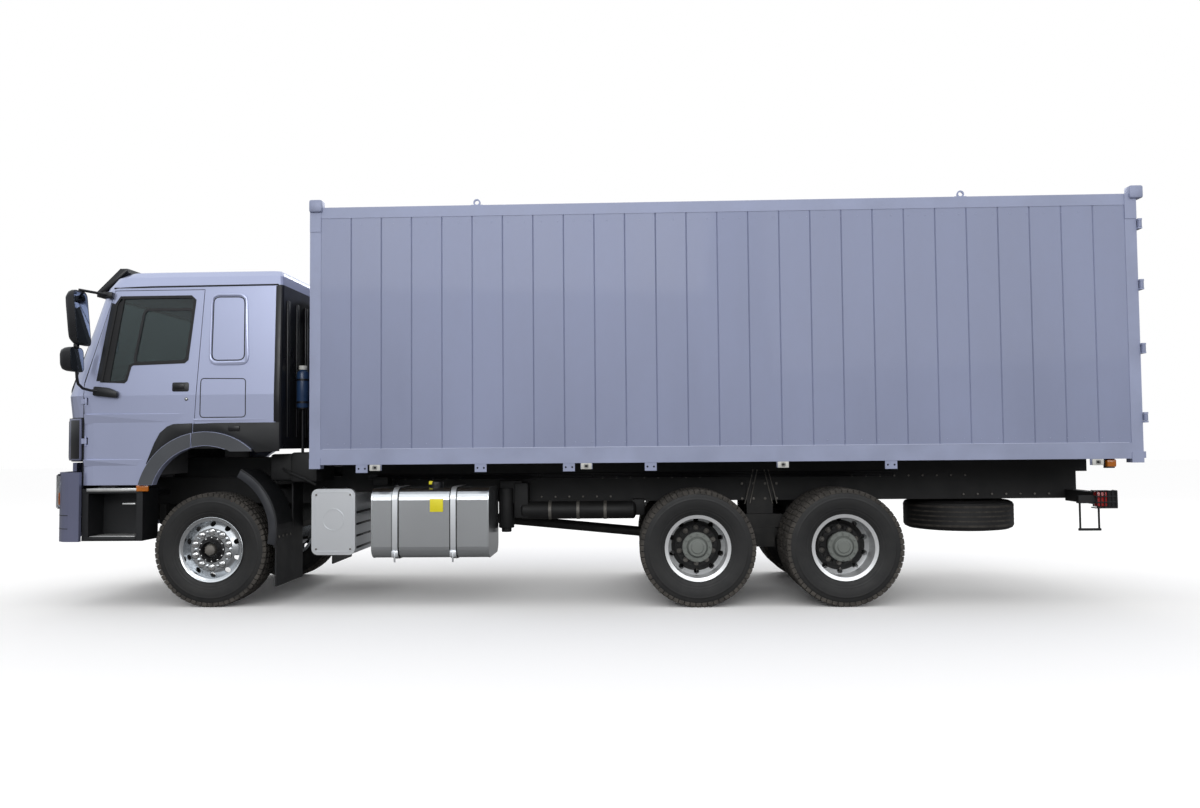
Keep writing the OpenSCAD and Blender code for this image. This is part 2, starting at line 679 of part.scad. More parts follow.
module box_frame() {
  color(PAINT) on_truck() {
    both_sides() {
      corner_post([box_front, box_front + post_w]);
      corner_post([box_rear - post_w, box_rear]);
      block([box_front, box_rear], [-box_y, -rail_y], [sill_bottom, floor_top]);
      block([box_front, box_rear], [-box_y, -rail_y], [header_z, box_top]);
      for (x = tab_x) sill_tab(x, tab_drop, [-30, 30]);
      for (x = plate_x) sill_tab(x, plate_drop, [0]);
      for (x = eye_x) lifting_eye(x);
      for (z = hinge_z) for (s = [-1, 1]) rear_lug(z + s * (lug_h / 2 + 9) - 8);
      // Rubber buffer
      block([box_rear - EPS, tail_x], [-box_y + 60, -box_y + 210], [sill_bottom + 4, sill_bottom + 64]);
    }
    for (x = [[box_front, box_front + end_rail_w], [box_rear - end_rail_w, box_rear]]) {
      block(x, [-rail_y - 1, rail_y + 1], [sill_bottom, floor_top]);
      block(x, [-rail_y - 1, rail_y + 1], [header_z, box_top]);
    }
    // Rain lip over the rear doors
    side_plate([-box_y, box_y], [[box_rear - 50, box_top - EPS], [box_rear, box_top - EPS],
      [box_rear + 34, box_top + 34], [box_rear + 30, box_top + 38], [box_rear - 12,
      box_top + 4], [box_rear - 50, box_top + 4]]);
  }
}
module box_floor() {
  x0 = box_front + end_rail_w;
  x1 = box_rear - end_rail_w;
  count = floor((x1 - x0) / 400);
  color(DARK) on_truck() {
    block([x0, x1], [-rail_y, rail_y], [floor_top - floor_plate_t, floor_top]);
    for (i = [1:count]) let (x = x0 + (x1 - x0) * i / (count + 1))
      block([x - 30, x + 30], [-rail_y, rail_y], [sill_bottom, floor_top - floor_plate_t + EPS]);
  }
}
// Side wall outline seen from above: planks parted by V grooves
groove = 7;
module plank_wall() {
  x0 = box_front + post_w;
  x1 = box_rear - post_w;
  pitch = (x1 - x0) / plank_count;
  y0 = -box_y + 4;
  translate([0, 0, floor_top]) linear_extrude(header_z - floor_top) polygon(concat(
    [[x0, y0]],
    [for (i = [1:plank_count - 1], p = [[-groove, 0], [0, groove], [groove, 0]]) [x0 + i * pitch + p[0],
    y0 + p[1]]],
    [[x1, y0], [x1, y0 + wall_t], [x0, y0 + wall_t]]));
}
module box_side_walls() {
  color(PAINT) on_truck() both_sides() plank_wall();
}
module box_front_wall() {
  color(PAINT) on_truck() block([box_front + 6, box_front + 6 + wall_t], [-rail_y, rail_y], [floor_top,
      header_z]);
}
module box_roof() {
  color(PAINT) on_truck() block([box_front + end_rail_w, box_rear - end_rail_w], [-rail_y, rail_y],
      [box_top - 50, box_top - 6]);
}
// Left leaf; its hinge pins stand in the lugs on the rear post
module rear_leaf() {
  y = [-rail_y + leaf_gap, -leaf_gap / 2];
  z = [floor_top + leaf_gap, header_z - leaf_gap];
  block([box_rear - leaf_t, box_rear], y, z);
  for (h = hinge_z) {
    z_rod(hinge_r, [h - lug_h / 2 - 15, h + lug_h / 2 + 15], [hinge_x, -hinge_y]);
    z_rod(hinge_r + 8, [h - lug_h / 2 + 1, h + lug_h / 2 - 1], [hinge_x, -hinge_y]);
    block([box_rear + 8, box_rear + 20], [-hinge_y, y[0] + 180], [h - lug_h / 2 + 1, h + lug_h / 2 - 1]);
    block([box_rear - 1, box_rear + 9], [y[0] + 40, y[0] + 180], [h - lug_h / 2 + 1, h + lug_h / 2 - 1]);
  }
  for (at = [-0.26, -0.72] * box_y) {
    z_rod(16, z + [20, -20], [box_rear + 24, at]);
    for (k = [0.06, 0.35, 0.65, 0.94]) let (c = z[0] + (z[1] - z[0]) * k)
      block([box_rear - 1, box_rear + 42], [at - 40, at + 40], [c - 30, c + 30]);
    block([box_rear + 20, box_rear + 36], [at, at + 260], [floor_top + 700, floor_top + 735]);
    block([box_rear - 1, box_rear + 34], [at + 215, at + 250], [floor_top + 690, floor_top + 745]);
  }
}
module rear_door(side) {
  color(PAINT) on_truck() on_side(side) rear_leaf();
}

// -------------------------------------------------------------------- cab
function cab_half(z) = lookup(z, [[0, cab_y], [screen_base_z, cab_y], [roof_seam, cab_y - 50],
  [cab_top - 75, cab_y - 75], [cab_top - 22, cab_y - 130], [cab_top, cab_y - 230]]);
function cab_nose(z) = front_face + lookup(z, [[0, 20], [screen_base_z, 20], [roof_seam - 34, 405],
  [cab_top - 75, 495], [cab_top - 22, 590], [cab_top, 750]]);
function cab_tail(z) = lookup(z, [[0, cab_back], [roof_seam, cab_back], [cab_top - 60, cab_back - 14],
  [cab_top - 18, cab_back - 50], [cab_top, cab_back - 130]]);
bow = 70;
// The nose corners are round at the bumper and tighter beside the windscreen
function nose_r(z) = lookup(z, [[0, 360], [1790, 360], [screen_base_z, 300], [roof_seam, 170]]);
tail_r = 45;
function cab_ring(z, t) = let (
    w = cab_half(z) - t, f = cab_nose(z) + t, b = cab_tail(z) - t, rn = nose_r(z) - t, rt = max(tail_r - t, 4),
    cx = f + bow + rn)
  concat(
    [for (k = [1:-0.25:-1]) [f + bow * k * k, k * (w - rn), z]],
    [for (a = [200:15:260]) [cx + rn * cos(a), rn - w + rn * sin(a), z]], [[cx, -w, z]],
    [for (a = [-90:30:0]) [b - rt + rt * cos(a), rt - w + rt * sin(a), z]],
    [for (a = [0:30:90]) [b - rt + rt * cos(a), w - rt + rt * sin(a), z]], [[cx, w, z]],
    [for (a = [100:15:160]) [cx + rn * cos(a), w - rn + rn * sin(a), z]]);
// Skin a stack of rings with as many points each
module skin(rings) {
  n = len(rings[0]);
  m = len(rings);
  polyhedron(points = [for (r = rings) each r], convexity = 6, faces = concat(
    [[for (i = [0:n - 1]) i]], [[for (i = [n - 1:-1:0]) (m - 1) * n + i]],
    [for (j = [0:m - 2], i = [0:n - 1]) [j * n + i, (j + 1) * n + i, (j + 1) * n + (i + 1) % n]],
    [for (j = [0:m - 2], i = [0:n - 1]) [j * n + i, (j + 1) * n + (i + 1) % n, j * n + (i + 1) % n]]));
}
cab_levels = [1100, 1790, screen_base_z, (screen_base_z + roof_seam - 34) / 2, roof_seam - 34, roof_seam,
  cab_top - 75, cab_top - 48, cab_top - 22, cab_top - 8, cab_top];
module cab_body(t) {
  skin([for (z = cab_levels) let (
      q = z == cab_levels[0] ? z - t : z > roof_seam ? z - t * (z - roof_seam) / (cab_top - roof_seam) : z)
    [for (p = cab_ring(z, t)) [p[0], p[1], q]]]);
}
module cab_shell() {
  difference() {
    cab_body(0);
    cab_body(cab_t);
  }
}
// Outlines in X and Z
BIG = 3000;
pillar_foot_z = screen_base_z + 120;
pillar_top_x = -945;
door_outline = [[door_front, cab_low_z], [door_front, pillar_foot_z], [pillar_top_x, door_top],
  [door_rear + 85, door_top], [door_rear, cab_side_low + 40], [door_rear, cab_low_z]];
window = [[-1050, 2140], [-930, 2890], [-890, 2955], [-200, 2955], [-165, 2925], [-225, 2345], [-250,
    2325], [-745, 2310],
  [-775, 2290], [-810, 2155], [-825, 2140]];
module outline_prism(points, grow = 0) {
  rotate([90, 0, 0]) translate([0, 0, -BIG]) linear_extrude(2 * BIG) offset(delta = grow) polygon(points);
}
floor_gap = 2;
module cab_floor() {
  y = cab_y - cab_t - 30;
  shape = [[-1520, 1862], [-1170, cab_floor_z], [-560, cab_floor_z], [-560, platform_z],
      [cab_back - cab_t, platform_z],
    [cab_back - cab_t, platform_z + 40], [-600, platform_z + 40], [-600, cab_floor_z + 40], [-1150,
    cab_floor_z + 40], [-1490, 1868]];
  color(DARK) on_truck() {
    both_sides() {
      intersection() {
        side_plate([-y, -tunnel_y + 40], shape);
        cab_body(cab_t + floor_gap);
      }
      // Tunnel side
      side_plate([-tunnel_y, -tunnel_y + 41], [[-1150, cab_floor_z], [-560, cab_floor_z], [-560,
          platform_z + 40], [-1290, platform_z + 40], [-1290, cab_floor_z + 190]]);
      // Tilt arm with its bore on the pivot pin
      difference() {
        union() {
          y_rod(38, [-rail_out - 50, -rail_out - 12], [pivot_x, pivot_z]);
          side_plate([-rail_out - 50, -rail_out - 12], [[pivot_x + 10, pivot_z - 36], [-1080,
              cab_floor_z - 40], [-700, cab_floor_z - 40],
            [-700, cab_floor_z + 1], [-1170, cab_floor_z + 1], [pivot_x - 10, pivot_z + 34]]);
        }
        y_rod(pivot_r + bore_clear, [-rail_out - 60, -rail_out], [pivot_x, pivot_z]);
      }
    }
    block([-1440, -559], [-tunnel_y + 1, tunnel_y - 1], [platform_z, platform_z + 40]);
    block([-560, cab_back - cab_t], [-tunnel_y - 1, tunnel_y + 1], [platform_z, platform_z + 40]);
  }
}
screen_y = cab_y - 150;
module screen_prism() {
  z0 = screen_base_z + 35;
  translate([-2000, 0, 0]) rotate([90, 0, 90]) linear_extrude(1150)
    polygon([[-screen_y, z0 + 30], [-screen_y + 40, z0], [screen_y - 40, z0], [screen_y, z0 + 30],
      [screen_y - 30, screen_top_z - 40], [screen_y - 80, screen_top_z], [80 - screen_y,
      screen_top_z], [30 - screen_y, screen_top_z - 40]]);
}
module front_zone() {
  rotate([90, 0, 0]) translate([0, 0, -BIG]) linear_extrude(2 * BIG)
    polygon([[-BIG, front_low_z], [door_front - panel_gap, front_low_z], [door_front - panel_gap,
        pillar_foot_z],
      [pillar_top_x - panel_gap, door_top], [pillar_top_x - panel_gap, roof_seam], [-BIG, roof_seam]]);
}
lid_y = 790;
lid_z = [1412, 1780];
lid_hinge = [front_face - 24, lid_z[1] + 22];
module lid_lug(y) {
  difference() {
    union() {
      y_rod(16, y, lid_hinge);
      block([lid_hinge[0], front_face + 75], y, [lid_hinge[1] - 16, lid_hinge[1] + 16]);
    }
    y_rod(8 + bore_clear, y + [-1, 1], lid_hinge);
  }
}
module cab_front() {
  color(PAINT) on_truck() {
    difference() {
      intersection() {
        cab_shell();
        front_zone();
      }
      screen_prism();
    }
    for (y = [-700, -20, 660]) lid_lug([y, y + 18]);
    both_sides() door_lugs();
  }
}
module front_lid() {
  color(BLACK) on_truck() {
    block([front_face - 38, front_face - 6], [-lid_y, lid_y], [lid_z[0], lid_z[1]]);
    for (y = [-700, -20, 660]) {
      y_rod(8, [y - 26, y + 44], lid_hinge);
      for (s = [y - 26, y + 24])
        block([lid_hinge[0] - 8, lid_hinge[0] + 8], [s, s + 20], [lid_z[1] - 10, lid_hinge[1] + 8]);
    }
  }
}
module windscreen() {
  color(GLASS) on_truck() intersection() {
    difference() {
      cab_body(10);
      cab_body(17);
    }
    screen_prism();
  }
}
module rear_zone() {
  rotate([90, 0, 0]) translate([0, 0, -BIG]) linear_extrude(2 * BIG)
    polygon([[pillar_top_x - panel_gap, door_top + panel_gap], [pillar_top_x - panel_gap, roof_seam],
      [cab_back - cab_t, roof_seam], [cab_back - cab_t, cab_side_low], [door_rear - 60,
      cab_side_low], [door_rear - 60, door_top + panel_gap]]);
}
module cab_sides() {
  color(PAINT) on_truck() {
    difference() {
      union() {
        intersection() {
          cab_shell();
          rear_zone();
        }
        both_sides() arch_flare([door_rear - 60, 470], [cab_side_low, BIG]);
      }
      outline_prism(door_outline, panel_gap);
      y_rod(arch_in_r, [-BIG, BIG], [arch_x, arch_z]);
    }
  }
}
module cab_back_wall() {
  color(DARK) on_truck() intersection() {
    cab_shell();
    block([cab_back - cab_t, cab_back + 10], [-BIG, BIG], [cab_side_low, roof_seam]);
  }
}
module cab_roof() {
  color(PAINT) on_truck() intersection() {
    cab_shell();
    block([-BIG, BIG], [-BIG, BIG], [roof_seam, cab_top + 10]);
  }
}

// Cab doors: a hinge barrel at the front edge, just inside the outer skin
door_pin = [door_front + 20, cab_y - 5];
door_pin_r = 8;
door_hinge_z = [1580, 1960];
door_lug_h = 50;
module door_lugs() {
  for (z = door_hinge_z) difference() {
    union() {
      z_rod(door_pin_r + 6, [z - door_lug_h / 2, z + door_lug_h / 2], [door_pin[0], -door_pin[1]]);
      block([door_front - panel_gap - 20, door_pin[0]], [-door_pin[1] - 5, -door_pin[1] + 35],
          [z - door_lug_h / 2, z + door_lug_h / 2]);
    }
    z_rod(door_pin_r + bore_clear, [z - door_lug_h, z + door_lug_h], [door_pin[0], -door_pin[1]]);
  }
}
module arch_flare(x, z) {
  intersection() {
    difference() {
      y_rod(arch_out_r, [-cab_y - 38, -cab_y + cab_t], [arch_x, arch_z]);
      y_rod(arch_in_r, [-cab_y - 39, -cab_y + cab_t + 1], [arch_x, arch_z]);
    }
    block(x, [-cab_y - 40, -cab_y + cab_t + 1], z);
  }
}
module cab_door(side) {
  color(PAINT) on_truck() on_side(side) {
    difference() {
      intersection() {
        union() {
          cab_shell();
          arch_flare([door_front, 0], [cab_low_z, BIG]);
        }
        outline_prism(door_outline);
        block([-BIG, BIG], [-BIG, -cab_y / 2], [0, BIG * 2]);
      }
      outline_prism(window);
      y_rod(arch_in_r, [-BIG, BIG], [arch_x, arch_z]);
      for (z = door_hinge_z)
        block([door_front - 1, door_front + 44], [-cab_y - 1, -cab_y + cab_t + 20],
            [z - door_lug_h / 2 - 8, z + door_lug_h / 2 + 8]);
    }
    for (z = door_hinge_z) z_rod(door_pin_r, [z - door_lug_h / 2 - 20, z + door_lug_h / 2 + 20],
        [door_pin[0], -door_pin[1]]);
  }
}
module door_glass(side) {
  color(GLASS) on_truck() on_side(side) intersection() {
    difference() {
      cab_body(14);
      cab_body(19);
    }
    outline_prism(window);
    block([-BIG, BIG], [-BIG, -cab_y / 2], [0, BIG * 2]);
  }
}
module rod(a, b, r) {
  d = b - a;
  translate(a) rotate([0, acos(d[2] / norm(d)), atan2(d[1], d[0])]) cylinder(r = r, h = norm(d), $fn = 24);
}
mirror_reach = 200;
module mirrors(side) {
  stem = [-1165, -cab_y - mirror_reach];
  arm_r = 13;
  color(BLACK) on_truck() on_side(side) {
    block([-1140, -930], [-cab_y - 34, -cab_y], [2020, 2085]);
    rod([-1090, -cab_y - 25, 2052], [stem[0], stem[1], 2160], arm_r);
    z_rod(arm_r, [2150, 3010], stem);
    difference() {
      union() {
        rod([stem[0], stem[1], 2995], [-1000, -cab_y + 20, 2975], arm_r);
        block([-1030, -925], [-cab_y + 10, -cab_y + 52], [2950, 3000]);
      }
      cab_body(-seat_gap);
      difference() {
        cab_body(-panel_gap);
        outline_prism(door_outline);
      }
    }
    block([-1210, -1120], [-cab_y - 320, -cab_y - 80], [2467, 2983]);
    block([-1280, -1170], [-cab_y - 310, -cab_y - 90], [2233, 2455]);
  }
}
module sun_visor() {
  y = cab_y - 200;
  blade = [[-1215, 2990], [-1180, 2985], [-905, 3225], [-905, 3262], [-985, 3265], [-1215, 3040]];
  bracket = [[-1140, 3010], [-960, 3030], [-900, 3150], [-1060, 3150]];
  color(BLACK) on_truck() difference() {
    union() {
      side_plate([-y, y], blade);
      for (k = [-0.75, 0, 0.75]) side_plate([k * y - 20, k * y + 20], bracket);
    }
    cab_body(-seat_gap);
  }
}
wheel_at = [-905, -620, 2120];
wheel_tilt = 28;
column_r = 32;
column_len = 230;
dash_side = [[-1600, 1870], [-1130, 1870], [-1010, 1940], [-1000, 2070], [-1060, 2110], [-1330, 2090],
    [-1600, 2060]];
module dashboard() {
  y = cab_y - 75;
  color(BLACK) on_truck() difference() {
    intersection() {
      side_plate([-y, y], dash_side);
      cab_body(cab_t + seat_gap);
    }
    translate(wheel_at) rotate([0, wheel_tilt, 0]) translate([0, 0, -column_len - 10 * seat_gap])
      cylinder(r = column_r + seat_gap, h = column_len);
  }
}
module steering_wheel() {
  color(BLACK) on_truck() translate(wheel_at) rotate([0, wheel_tilt, 0]) {
    rotate_extrude($fn = 64) translate([225, 0]) circle(r = 16, $fn = 20);
    translate([0, 0, -30]) cylinder(r = 70, h = 34);
    for (a = [60, 180, 300]) rotate([0, 0, a]) translate([60, -18, -14]) cube([160, 36, 14]);
    translate([0, 0, -column_len]) cylinder(r = column_r, h = column_len - 20);
  }
}
seat_y = [370, 880];
seat_base_z = 1830;
cushion = [[-780, seat_base_z], [-190, seat_base_z], [-80, 2640], [-190, 2660], [-290, 1960], [-770, 1985]];
headrest = [[-180, 2640], [-90, 2630], [-70, 2830], [-150, 2840]];
module seats() {
  color(DARK) on_truck() both_sides() {
    block([-700, -330], [-seat_y[1] + 80, -seat_y[0] - 80], [platform_z + 40, seat_base_z]);
    side_plate([-seat_y[1], -seat_y[0]], cushion);
    side_plate([-seat_y[1] + 110, -seat_y[0] - 110], headrest);
  }
}
mattress_z = [1880, 2000];
module bunk() {
  y = cab_y - cab_t - 30;
  color(DARK) on_truck() {
    block([20, cab_back - cab_t], [-y, y], [platform_z + 40, mattress_z[0]]);
    block([0, cab_back - cab_t - 1], [-y, y], mattress_z - [EPS, 0]);
  }
}

chassis_frame();
front_axle();
rear_axles();
leaf_springs();
engine_block();
propshaft();
fuel_tank();
battery_box();
air_tanks();
silencer();
spare_wheel();
rear_lamp_bars();
bumper();
headlamps();
steps();
mudguards();
box_frame();
box_floor();
box_side_walls();
box_front_wall();
box_roof();
rear_door(-1);  // rear_door_left
rear_door(1);  // rear_door_right
cab_floor();
cab_front();
cab_sides();
cab_back_wall();
cab_roof();
windscreen();
sun_visor();
dashboard();
steering_wheel();
seats();
bunk();
front_lid();
cab_door(-1);  // cab_door_left
cab_door(1);  // cab_door_right
door_glass(-1);  // door_glass_left
door_glass(1);  // door_glass_right
mirrors(-1);  // mirrors_left
mirrors(1);  // mirrors_right
knuckle(-1);  // knuckle_left
knuckle(1);  // knuckle_right
front_tyre(-1);  // front_tyre_left
front_tyre(1);  // front_tyre_right
front_rim(-1);  // front_rim_left
front_rim(1);  // front_rim_right
rear_tyres(1, -1);  // rear_tyres_1_left
rear_tyres(1, 1);  // rear_tyres_1_right
rear_tyres(2, -1);  // rear_tyres_2_left
rear_tyres(2, 1);  // rear_tyres_2_right
rear_rims(1, -1);  // rear_rims_1_left
rear_rims(1, 1);  // rear_rims_1_right
rear_rims(2, -1);  // rear_rims_2_left
rear_rims(2, 1);  // rear_rims_2_right
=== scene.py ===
"""Looks of the three-axle box truck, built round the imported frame.

The truck faces -X and its left side is at -Y. Stations are metres behind the front axle. Parts are drawn
on the left side or across the middle, and mirrored where the right side has them too.
"""
import math
import bpy
import bmesh
from mathutils import Matrix, Vector


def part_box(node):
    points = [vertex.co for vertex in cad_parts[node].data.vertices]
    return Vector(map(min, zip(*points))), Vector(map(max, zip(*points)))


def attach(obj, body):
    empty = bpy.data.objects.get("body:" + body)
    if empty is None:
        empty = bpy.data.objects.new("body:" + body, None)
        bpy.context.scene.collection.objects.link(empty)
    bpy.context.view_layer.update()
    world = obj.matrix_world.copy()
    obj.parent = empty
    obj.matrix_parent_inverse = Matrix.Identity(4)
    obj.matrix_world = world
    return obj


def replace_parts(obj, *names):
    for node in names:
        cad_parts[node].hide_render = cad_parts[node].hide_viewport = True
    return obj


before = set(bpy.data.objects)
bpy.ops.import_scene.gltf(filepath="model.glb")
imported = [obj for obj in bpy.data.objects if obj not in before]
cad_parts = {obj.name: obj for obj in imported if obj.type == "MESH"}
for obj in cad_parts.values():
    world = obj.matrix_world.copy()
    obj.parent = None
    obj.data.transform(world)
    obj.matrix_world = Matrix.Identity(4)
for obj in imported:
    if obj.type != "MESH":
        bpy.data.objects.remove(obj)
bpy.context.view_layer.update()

# ------------------------------------------------------------------ places
# Each side with the sign of its Y
SIDES = (("left", -1), ("right", 1))


def node_box(name):
    """The low and high corners of a node, in metres."""
    low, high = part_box(name)
    return Vector(low), Vector(high)


def middle(name):
    """The centre of a node's box."""
    low, high = node_box(name)
    return (low + high) / 2


AXLE_X = middle("front_tyre_left").x
HUB_Z = middle("front_tyre_left").z
TYRE_R = (node_box("front_tyre_left")[1].z - node_box("front_tyre_left")[0].z) / 2
TYRE_W = node_box("front_tyre_left")[1].y - node_box("front_tyre_left")[0].y
# The left skin of the cab stands at -SKIN below the waist and leans in above it.
SKIN = 1.2
WAIST_Z = node_box("windscreen")[0].z - 0.035
ROOF_Z = node_box("cab_roof")[0].z
LEAN = 0.05 / (ROOF_Z - WAIST_Z)
# The rails' outer faces
RAIL_Y = -0.4265
# The wheel arch's centre in (X, Z) and the outer radius of its flare
ARCH = (AXLE_X - 0.025, 1.0)
ARCH_R = 0.66


def at(station, y, z):
    """A point given by its station behind the front axle."""
    return Vector((AXLE_X + station, y, z))


# --------------------------------------------------------------- materials
def new_material(name):
    """A node material with its tree and its shader."""
    material = bpy.data.materials.new(name)
    material.use_nodes = True
    tree = material.node_tree
    return material, tree, tree.nodes["Principled BSDF"]


def add(tree, kind, **settings):
    """A new node with its properties set."""
    node = tree.nodes.new(kind)
    for key, value in settings.items():
        setattr(node, key, value)
    return node


def object_coords(tree):
    return add(tree, "ShaderNodeTexCoord").outputs["Object"]


def noise(tree, coords, scale, detail=3.0, stretch=(1, 1, 1)):
    """Mottling at a scale, stretched along the axes."""
    mapping = add(tree, "ShaderNodeMapping")
    mapping.inputs["Scale"].default_value = stretch
    tree.links.new(coords, mapping.inputs["Vector"])
    texture = add(tree, "ShaderNodeTexNoise")
    texture.inputs["Scale"].default_value = scale
    texture.inputs["Detail"].default_value = detail
    tree.links.new(mapping.outputs["Vector"], texture.inputs["Vector"])
    return texture.outputs["Fac"]


def ramp(tree, value, low, high, colour_low, colour_high):
    """One colour up to low, another from high on, and a blend between."""
    node = add(tree, "ShaderNodeValToRGB")
    node.color_ramp.elements[0].position = low
    node.color_ramp.elements[1].position = high
    node.color_ramp.elements[0].color = (*colour_low, 1)
    node.color_ramp.elements[1].color = (*colour_high, 1)
    tree.links.new(value, node.inputs["Fac"])
    return node.outputs["Color"]


def spread(tree, value, low, high, out_low, out_high):
    """A value from low to high, mapped onto out_low to out_high."""
    node = add(tree, "ShaderNodeMapRange")
    for socket, number in zip(("From Min", "From Max", "To Min", "To Max"), (low, high, out_low, out_high)):
        node.inputs[socket].default_value = number
    tree.links.new(value, node.inputs["Value"])
    return node.outputs["Result"]


def calc(tree, operation, a, b=None):
    """Arithmetic on sockets or plain numbers."""
    node = add(tree, "ShaderNodeMath", operation=operation)
    for socket, value in zip(node.inputs, (a, b)):
        if value is None:
            continue
        if isinstance(value, (int, float)):
            socket.default_value = value
        else:
            tree.links.new(value, socket)
    return node.outputs["Value"]


def blend_colour(tree, factor, a, b):
    """Mixes two colours, each a socket or a plain colour."""
    node = add(tree, "ShaderNodeMix", data_type="RGBA")
    tree.links.new(factor, node.inputs["Factor"])
    for name, value in (("A", a), ("B", b)):
        socket = [s for s in node.inputs if s.name == name and s.type == "RGBA"][0]
        if isinstance(value, tuple):
            socket.default_value = (*value, 1)
        else:
            tree.links.new(value, socket)
    return [s for s in node.outputs if s.type == "RGBA"][0]


def bump(tree, shader, height, strength, distance=0.002):
    """Gives the shader fine relief from a height."""
    node = add(tree, "ShaderNodeBump")
    node.inputs["Strength"].default_value = strength
    node.inputs["Distance"].default_value = distance
    tree.links.new(height, node.inputs["Height"])
    tree.links.new(node.outputs["Normal"], shader.inputs["Normal"])


def finish_material(name, colour, rough, metallic=0.0, variation=0.15, scale=3.0, grain=400.0,
                    grain_strength=0.1, stretch=(1, 1, 1), coat=0.0, dust=0.0, rough_spread=0.12):
    """A painted, moulded or bare surface.

    Its colour is mottled, its gloss uneven and its grain fine, and its dust thickens low down.
    """
    material, tree, shader = new_material(name)
    coords = object_coords(tree)
    broad = noise(tree, coords, scale, 4.0, stretch)
    dark = tuple(c * (1 - variation) for c in colour)
    light = tuple(min(c * (1 + variation), 1) for c in colour)
    shade = ramp(tree, broad, 0.3, 0.7, dark, light)
    if dust:
        split = add(tree, "ShaderNodeSeparateXYZ")
        tree.links.new(coords, split.inputs[0])
        height = spread(tree, split.outputs["Z"], 0.2, 1.3, 1.0, 0.15)
        specks = spread(tree, noise(tree, coords, 9.0, 8.0), 0.35, 0.85, 0.0, 1.0)
        cover = calc(tree, "MULTIPLY", calc(tree, "MULTIPLY", height, specks), dust)
        shade = blend_colour(tree, cover, shade, (0.20, 0.18, 0.155))
    tree.links.new(shade, shader.inputs["Base Color"])
    fine = noise(tree, coords, grain, 2.0)
    gloss = spread(tree, broad, 0.3, 0.7, max(rough - rough_spread / 2, 0.03), rough + rough_spread / 2)
    tree.links.new(gloss, shader.inputs["Roughness"])
    shader.inputs["Metallic"].default_value = metallic
    shader.inputs["Coat Weight"].default_value = coat
    shader.inputs["Coat Roughness"].default_value = 0.06
    bump(tree, shader, fine, grain_strength)
    return material


def wheel_radius(tree, coords, x, z):
    """Distance from a wheel's axle, which lies along Y through x and z."""
    split = add(tree, "ShaderNodeSeparateXYZ")
    tree.links.new(coords, split.inputs[0])
    dx = calc(tree, "SUBTRACT", split.outputs["X"], x)
    dz = calc(tree, "SUBTRACT", split.outputs["Z"], z)
    return calc(tree, "SQRT", calc(tree, "ADD", calc(tree, "MULTIPLY", dx, dx),
                                   calc(tree, "MULTIPLY", dz, dz)))


def rim_material(name, x, rings, metallic, rough):
    """Wheel metal whose colour changes outwards from the axle: rings holds (outer radius, colour)."""
    material = finish_material(name, rings[-1][1], rough=rough, metallic=metallic, variation=0.03,
                               scale=2.0, grain=220.0, grain_strength=0.01, dust=0.03, rough_spread=0.02)
    tree = material.node_tree
    shader = tree.nodes["Principled BSDF"]
    coords = object_coords(tree)
    radius = wheel_radius(tree, coords, x, HUB_Z)
    shade = shader.inputs["Base Color"].links[0].from_socket
    metal = None
    for outer, colour in reversed(rings[:-1]):
        inside = calc(tree, "LESS_THAN", radius, outer)
        shade = blend_colour(tree, inside, shade, colour)
        metal = inside if metal is None else calc(tree, "MAXIMUM", metal, inside)
    tree.links.new(shade, shader.inputs["Base Color"])
    if metal is not None:
        tree.links.new(spread(tree, metal, 0, 1, metallic, 0.25), shader.inputs["Metallic"])
        base = shader.inputs["Roughness"].links[0].from_socket
        tree.links.new(calc(tree, "ADD", base, calc(tree, "MULTIPLY", metal, 0.25)),
                       shader.inputs["Roughness"])
    return material


def glass_material(name, tint, rough=0.01, clear=0.93):
    """Thin tinted glass: mostly clear, with a mirror-like surface that grows towards grazing angles."""
    material, tree, shader = new_material(name)
    coords = object_coords(tree)
    film = noise(tree, coords, 2.2, 3.0)
    shader.inputs["Transmission Weight"].default_value = clear
    shader.inputs["IOR"].default_value = 1.12
    dark = tuple(c * 0.9 for c in tint)
    tree.links.new(ramp(tree, film, 0.3, 0.75, dark, tint), shader.inputs["Base Color"])
    tree.links.new(spread(tree, film, 0.35, 0.8, rough, rough + 0.05), shader.inputs["Roughness"])
    shader.inputs["Coat Weight"].default_value = 1.0
    shader.inputs["Coat Roughness"].default_value = 0.02
    return material


def lamp_lens(name, colour):
    """A moulded lamp lens: tinted, part clear, with fine fluting."""
    material, tree, shader = new_material(name)
    coords = object_coords(tree)
    wave = add(tree, "ShaderNodeTexWave", bands_direction="X")
    wave.inputs["Scale"].default_value = 60.0
    tree.links.new(coords, wave.inputs["Vector"])
    deep = tuple(c * 0.7 for c in colour)
    tree.links.new(ramp(tree, wave.outputs["Fac"], 0.2, 0.8, deep, colour), shader.inputs["Base Color"])
    shader.inputs["Roughness"].default_value = 0.08
    shader.inputs["Transmission Weight"].default_value = 0.35
    shader.inputs["Coat Weight"].default_value = 0.8
    bump(tree, shader, wave.outputs["Fac"], 0.3, 0.001)
    return material


